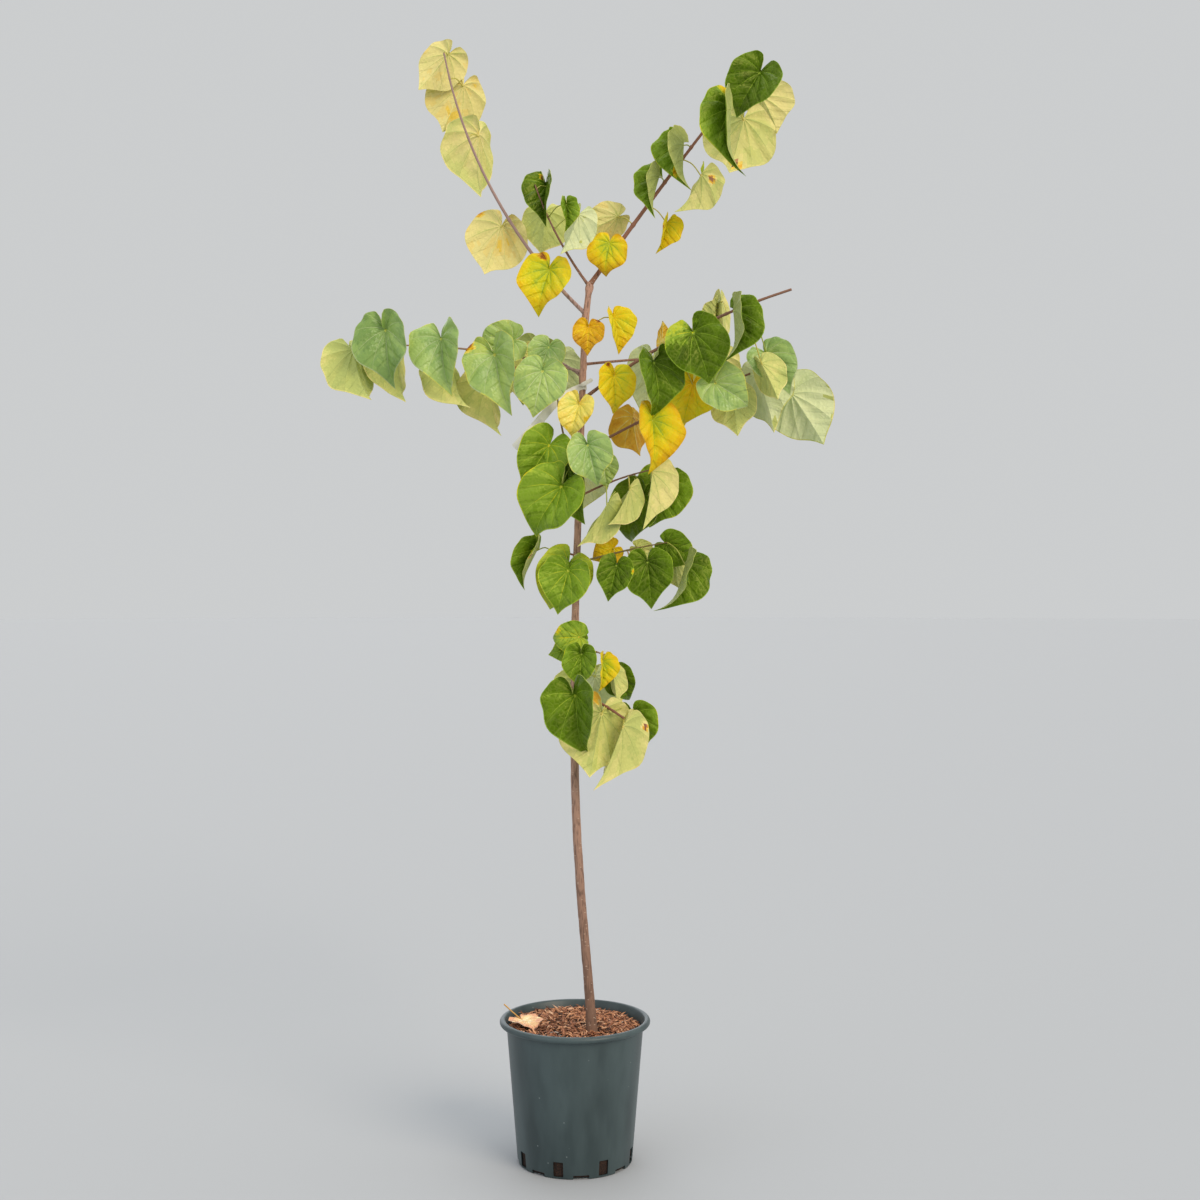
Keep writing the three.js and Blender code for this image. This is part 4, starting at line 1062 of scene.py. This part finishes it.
def mass_lots(shoot, seed):
    """The blades of a mass, and its twig with the petioles and buds."""
    start = shoot.bare + (1.4 * GAP / shoot.length if shoot.bare > 0 else 0)
    stem = smooth_route(along_route(shoot_route(shoot), np.linspace(start, 1, 9)))
    length = stem[1][-1]
    in_view = shoot.name in leaf_rows
    leaves = list(placed_leaves(shoot, seed) if in_view else sprung_leaves(shoot, stem, seed))
    springs = np.arange(math.ceil(50 * PETIOLE_SPRING / length), 51) / 50
    spring_points = along_route(stem, springs)
    nearest = [np.argmin(np.linalg.norm(spring_points - leaf.joint, axis=1)) for leaf in leaves]
    blades = [blade_lot(leaf, seed + 1000 + 10 * i) for i, leaf in enumerate(leaves)]

    parts = np.linspace(-0.6 / length, 1, max(24, int(length / 2.5)))
    centres = along_route(stem, np.clip(parts, 0, 1))
    centres[0] += parts[0] * length * unit(centres[2] - centres[1])
    radii = shoot_radius(shoot, start + (1 - start) * np.clip(parts, 0, 1))
    for at in set(nearest):
        radii = radii * (1 + 0.28 * np.exp(-(((parts - springs[at]) * length / 2.6) ** 2)))
    points, faces = barked_limb(centres, radii, TWIG_SIDES, 0.1, 0.07, seed + 5)
    paints = np.full(len(faces), BARK_PAINT + list(SHOOT_BARKS).index(shoot.bark))
    twigs = [(points, faces, paints)]
    way = unit(centres[-1] - centres[-3])
    if shoot.name == PRUNED:
        paints[-TWIG_SIDES:] = CUT_PAINT
    else:
        twigs.append(bud_lot(centres[-1] - way, way, 1.1))
    for at, leaf in zip(nearest, leaves):
        base = spring_points[at]
        here = shoot_radius(shoot, start + (1 - start) * springs[at])
        lean = unit(leaf.joint - base) + 0.9 * way + [0, 0, 0.3]
        twigs.append(bud_lot(base + unit(lean) * here * 0.7, lean))
    return blades, twigs + [petiole_lot(spring_points[at], leaf) for at, leaf in zip(nearest, leaves)]


for number, shoot in enumerate(shoots):
    blades, twigs = mass_lots(shoot, 101 + 37 * number)
    points, faces, paints = joined(blades)
    grain = np.vstack([lot[3] for lot in blades])
    leaves = mesh_object("leaves_" + shoot.name, points, faces, leaf_skins, paints, grain, BLADE_CREASE)
    points, faces, paints = joined(twigs)
    twigs = mesh_object("twigs_" + shoot.name, points, faces, twig_skins, paints)
    for piece in (leaves, twigs):
        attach(piece, "root")
        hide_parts("foliage_" + shoot.name)


# Fallen leaf. One leaf has dropped on the mulch near the rim: dry, cream turning to orange, its
# margin curled up, and its petiole standing.
FALLEN_JOINT, FALLEN_LENGTH = np.array([-100, -14, 269]), 54
FALLEN_WAY = (0.55, -0.83, -0.08)
FALLEN_PETIOLE = (-35, 14, 26)  # from the joint to its end
FALLEN_FOLD, FALLEN_CURL = 10, -0.05
FALLEN_COLOURS = ("#fbedc4", "#f8e0aa", "#f2c692", "#e6a882", "#fdf4e0")  # the last is the rim's
DRY_VEIN, DRY_RIM, DRY_STALK = 2, 4, 5

along = unit(np.array(FALLEN_WAY))
face = unit(np.array([0, 0, 1.0]) - along * along[2])
fallen = Leaf(
    FALLEN_JOINT, FALLEN_LENGTH, FALLEN_FOLD, FALLEN_CURL, along, face, ("green", "gold"), False, ()
)
points, grain = blade_points(fallen, 777)
ages = face_ages(fallen, 777)
ages += 0.25 * ripples(points[: len(ages)], 14, 778)
tints = np.clip(np.round(ages * 4), 0, 3).astype(int)
tints[face_veins] = DRY_VEIN
paints = np.concatenate([tints, tints, np.full(RAYS, DRY_RIM)])
dry_skins = [
    leaf_surface(f"dry leaf {i + 1}", colour, "#c99a5c", 0.6, "#ffffff", 0.001)
    for i, colour in enumerate(FALLEN_COLOURS)
]
dry_skins.append(grained_material("dry petiole", "#c99a4e", 0.6, 1000.0 / 1.5, 0.6, 0.0002))
top = FALLEN_JOINT + FALLEN_PETIOLE
route = smooth_route([top, (FALLEN_JOINT + top) / 2 - 5 * along, FALLEN_JOINT - 0.5 * face])
stalk_radii = np.linspace(1.4, 1.0, 24)
stalk = along_route(route, np.linspace(0, 1, 24))
stalk_points, stalk_faces, _ = limb(stalk, stalk_radii, PETIOLE_SIDES)
grain = np.vstack([grain, np.zeros((len(stalk_points), 2))])
points, faces, paints = joined([(points, BLADE_FACES, paints), (stalk_points, stalk_faces, DRY_STALK)])
fallen = mesh_object("fallen_leaf_dry", points, faces, dry_skins, paints, grain, BLADE_CREASE)
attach(fallen, "root")
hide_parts("fallen_leaf")


# Label. A blank strap of thin white polypropylene, die cut and threaded through its own slot
# round the trunk, so that its end stands out beside the loop and its tail hangs to the left.
LABEL = {
    "height": 1469, "loop": 7.5, "thickness": 0.6, "widths": (11, 19),
    "tail": ((-22, -11, -10), (-52, -22, -34), (-90, -27, -78), (-126, -29, -120)),
    "end": ((-6, -10.5, 1), (6, -12, 6), (19, -13, 13)),
    "end_width": 8,
}
LABEL_COLOURS = ("#bfbfb6", "#e4e3dc")  # where it has been handled, and clean


def strap_lot(centres, outs, widths):
    """A thin strap with rounded edges along a line, with its face turned to outs."""
    across = np.cross(np.gradient(centres, axis=0), outs)
    across /= np.linalg.norm(across, axis=1)[:, None]
    outs = np.cross(across, np.gradient(centres, axis=0))
    outs /= np.linalg.norm(outs, axis=1)[:, None]
    half = LABEL["thickness"] / 2
    section = [(-1, 0), (-0.98, -1), (0, -1), (0.98, -1), (1, 0), (0.98, 1), (0, 1), (-0.98, 1)]
    rings = [centres + across * (w * widths / 2)[:, None] + outs * (t * half) for w, t in section]
    points = np.stack(rings, axis=1)
    ends = [points[0].mean(axis=0), points[-1].mean(axis=0)]
    return np.vstack([points.reshape(-1, 3), ends]), ring_faces(len(centres), len(section)), 0


middle = trunk_at(LABEL["height"])
turns = np.radians(np.linspace(190, -90, 15))
loop_outs = np.stack([np.cos(turns), np.sin(turns), 0 * turns], axis=1)
knots = np.vstack([middle + LABEL["loop"] * loop_outs, middle + LABEL["tail"]])
outs = np.vstack([loop_outs, np.tile([0, -1.0, 0], (4, 1))])
widths = np.concatenate([np.full(15, LABEL["widths"][0]), np.linspace(*LABEL["widths"], 5)[1:]])
route = smooth_route(knots)
knot_parts = route[1][::16] / route[1][-1]
parts = np.unique(np.concatenate([np.linspace(0, 1, 110), [0.004, 0.985, 0.992, 0.997]]))
centres = along_route(route, parts)
outs = np.stack([np.interp(parts, knot_parts, outs[:, k]) for k in range(3)], axis=1)
rounding = np.clip((1 - parts) * route[1][-1] / 2.5, 0, 1)
widths = np.interp(parts, knot_parts, widths) - 5 * (1 - np.sqrt(1 - (1 - rounding) ** 2))
centres[:, 1] += 1.2 * np.sin(6 * parts) * (parts > 0.4) * (parts - 0.4)
strap = strap_lot(centres, outs, widths)
route = smooth_route(middle + np.array(LABEL["end"]))
parts = np.linspace(0, 1, 14)
widths = LABEL["end_width"] * np.sqrt(np.clip(1 - ((parts - 0.55) / 0.5) ** 4, 0.02, 1))
tab = strap_lot(along_route(route, parts), np.tile([0.1, -1, 0.1], (14, 1)), widths)

white, shader, add = new_material("die-cut white polypropylene", LABEL_COLOURS[1], 0.5, 1.49)
place = add("TexCoord").outputs["Object"]
# Handling marks, about 20 mm apart, and a faint mill grain drawn at 2 mm
smudge = add("TexNoise", {"Vector": place, "Scale": 50.0, "Detail": 3.0})
shades = add("ValToRGB", {"Fac": smudge})
for shade, at, colour in zip(shades.color_ramp.elements, (0.25, 0.55), LABEL_COLOURS):
    shade.position, shade.color = at, linear(colour)
grain = add("TexNoise", {"Vector": place, "Scale": 500.0})
milled = add("Bump", {"Height": grain, "Strength": 0.3, "Distance": 0.0002})
set_inputs(shader, {"Base Color": shades, "Normal": milled})
label = mesh_object("label_strap", *joined([strap, tab])[:2], [white], crease=50)
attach(label, "root")
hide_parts("plant_label")
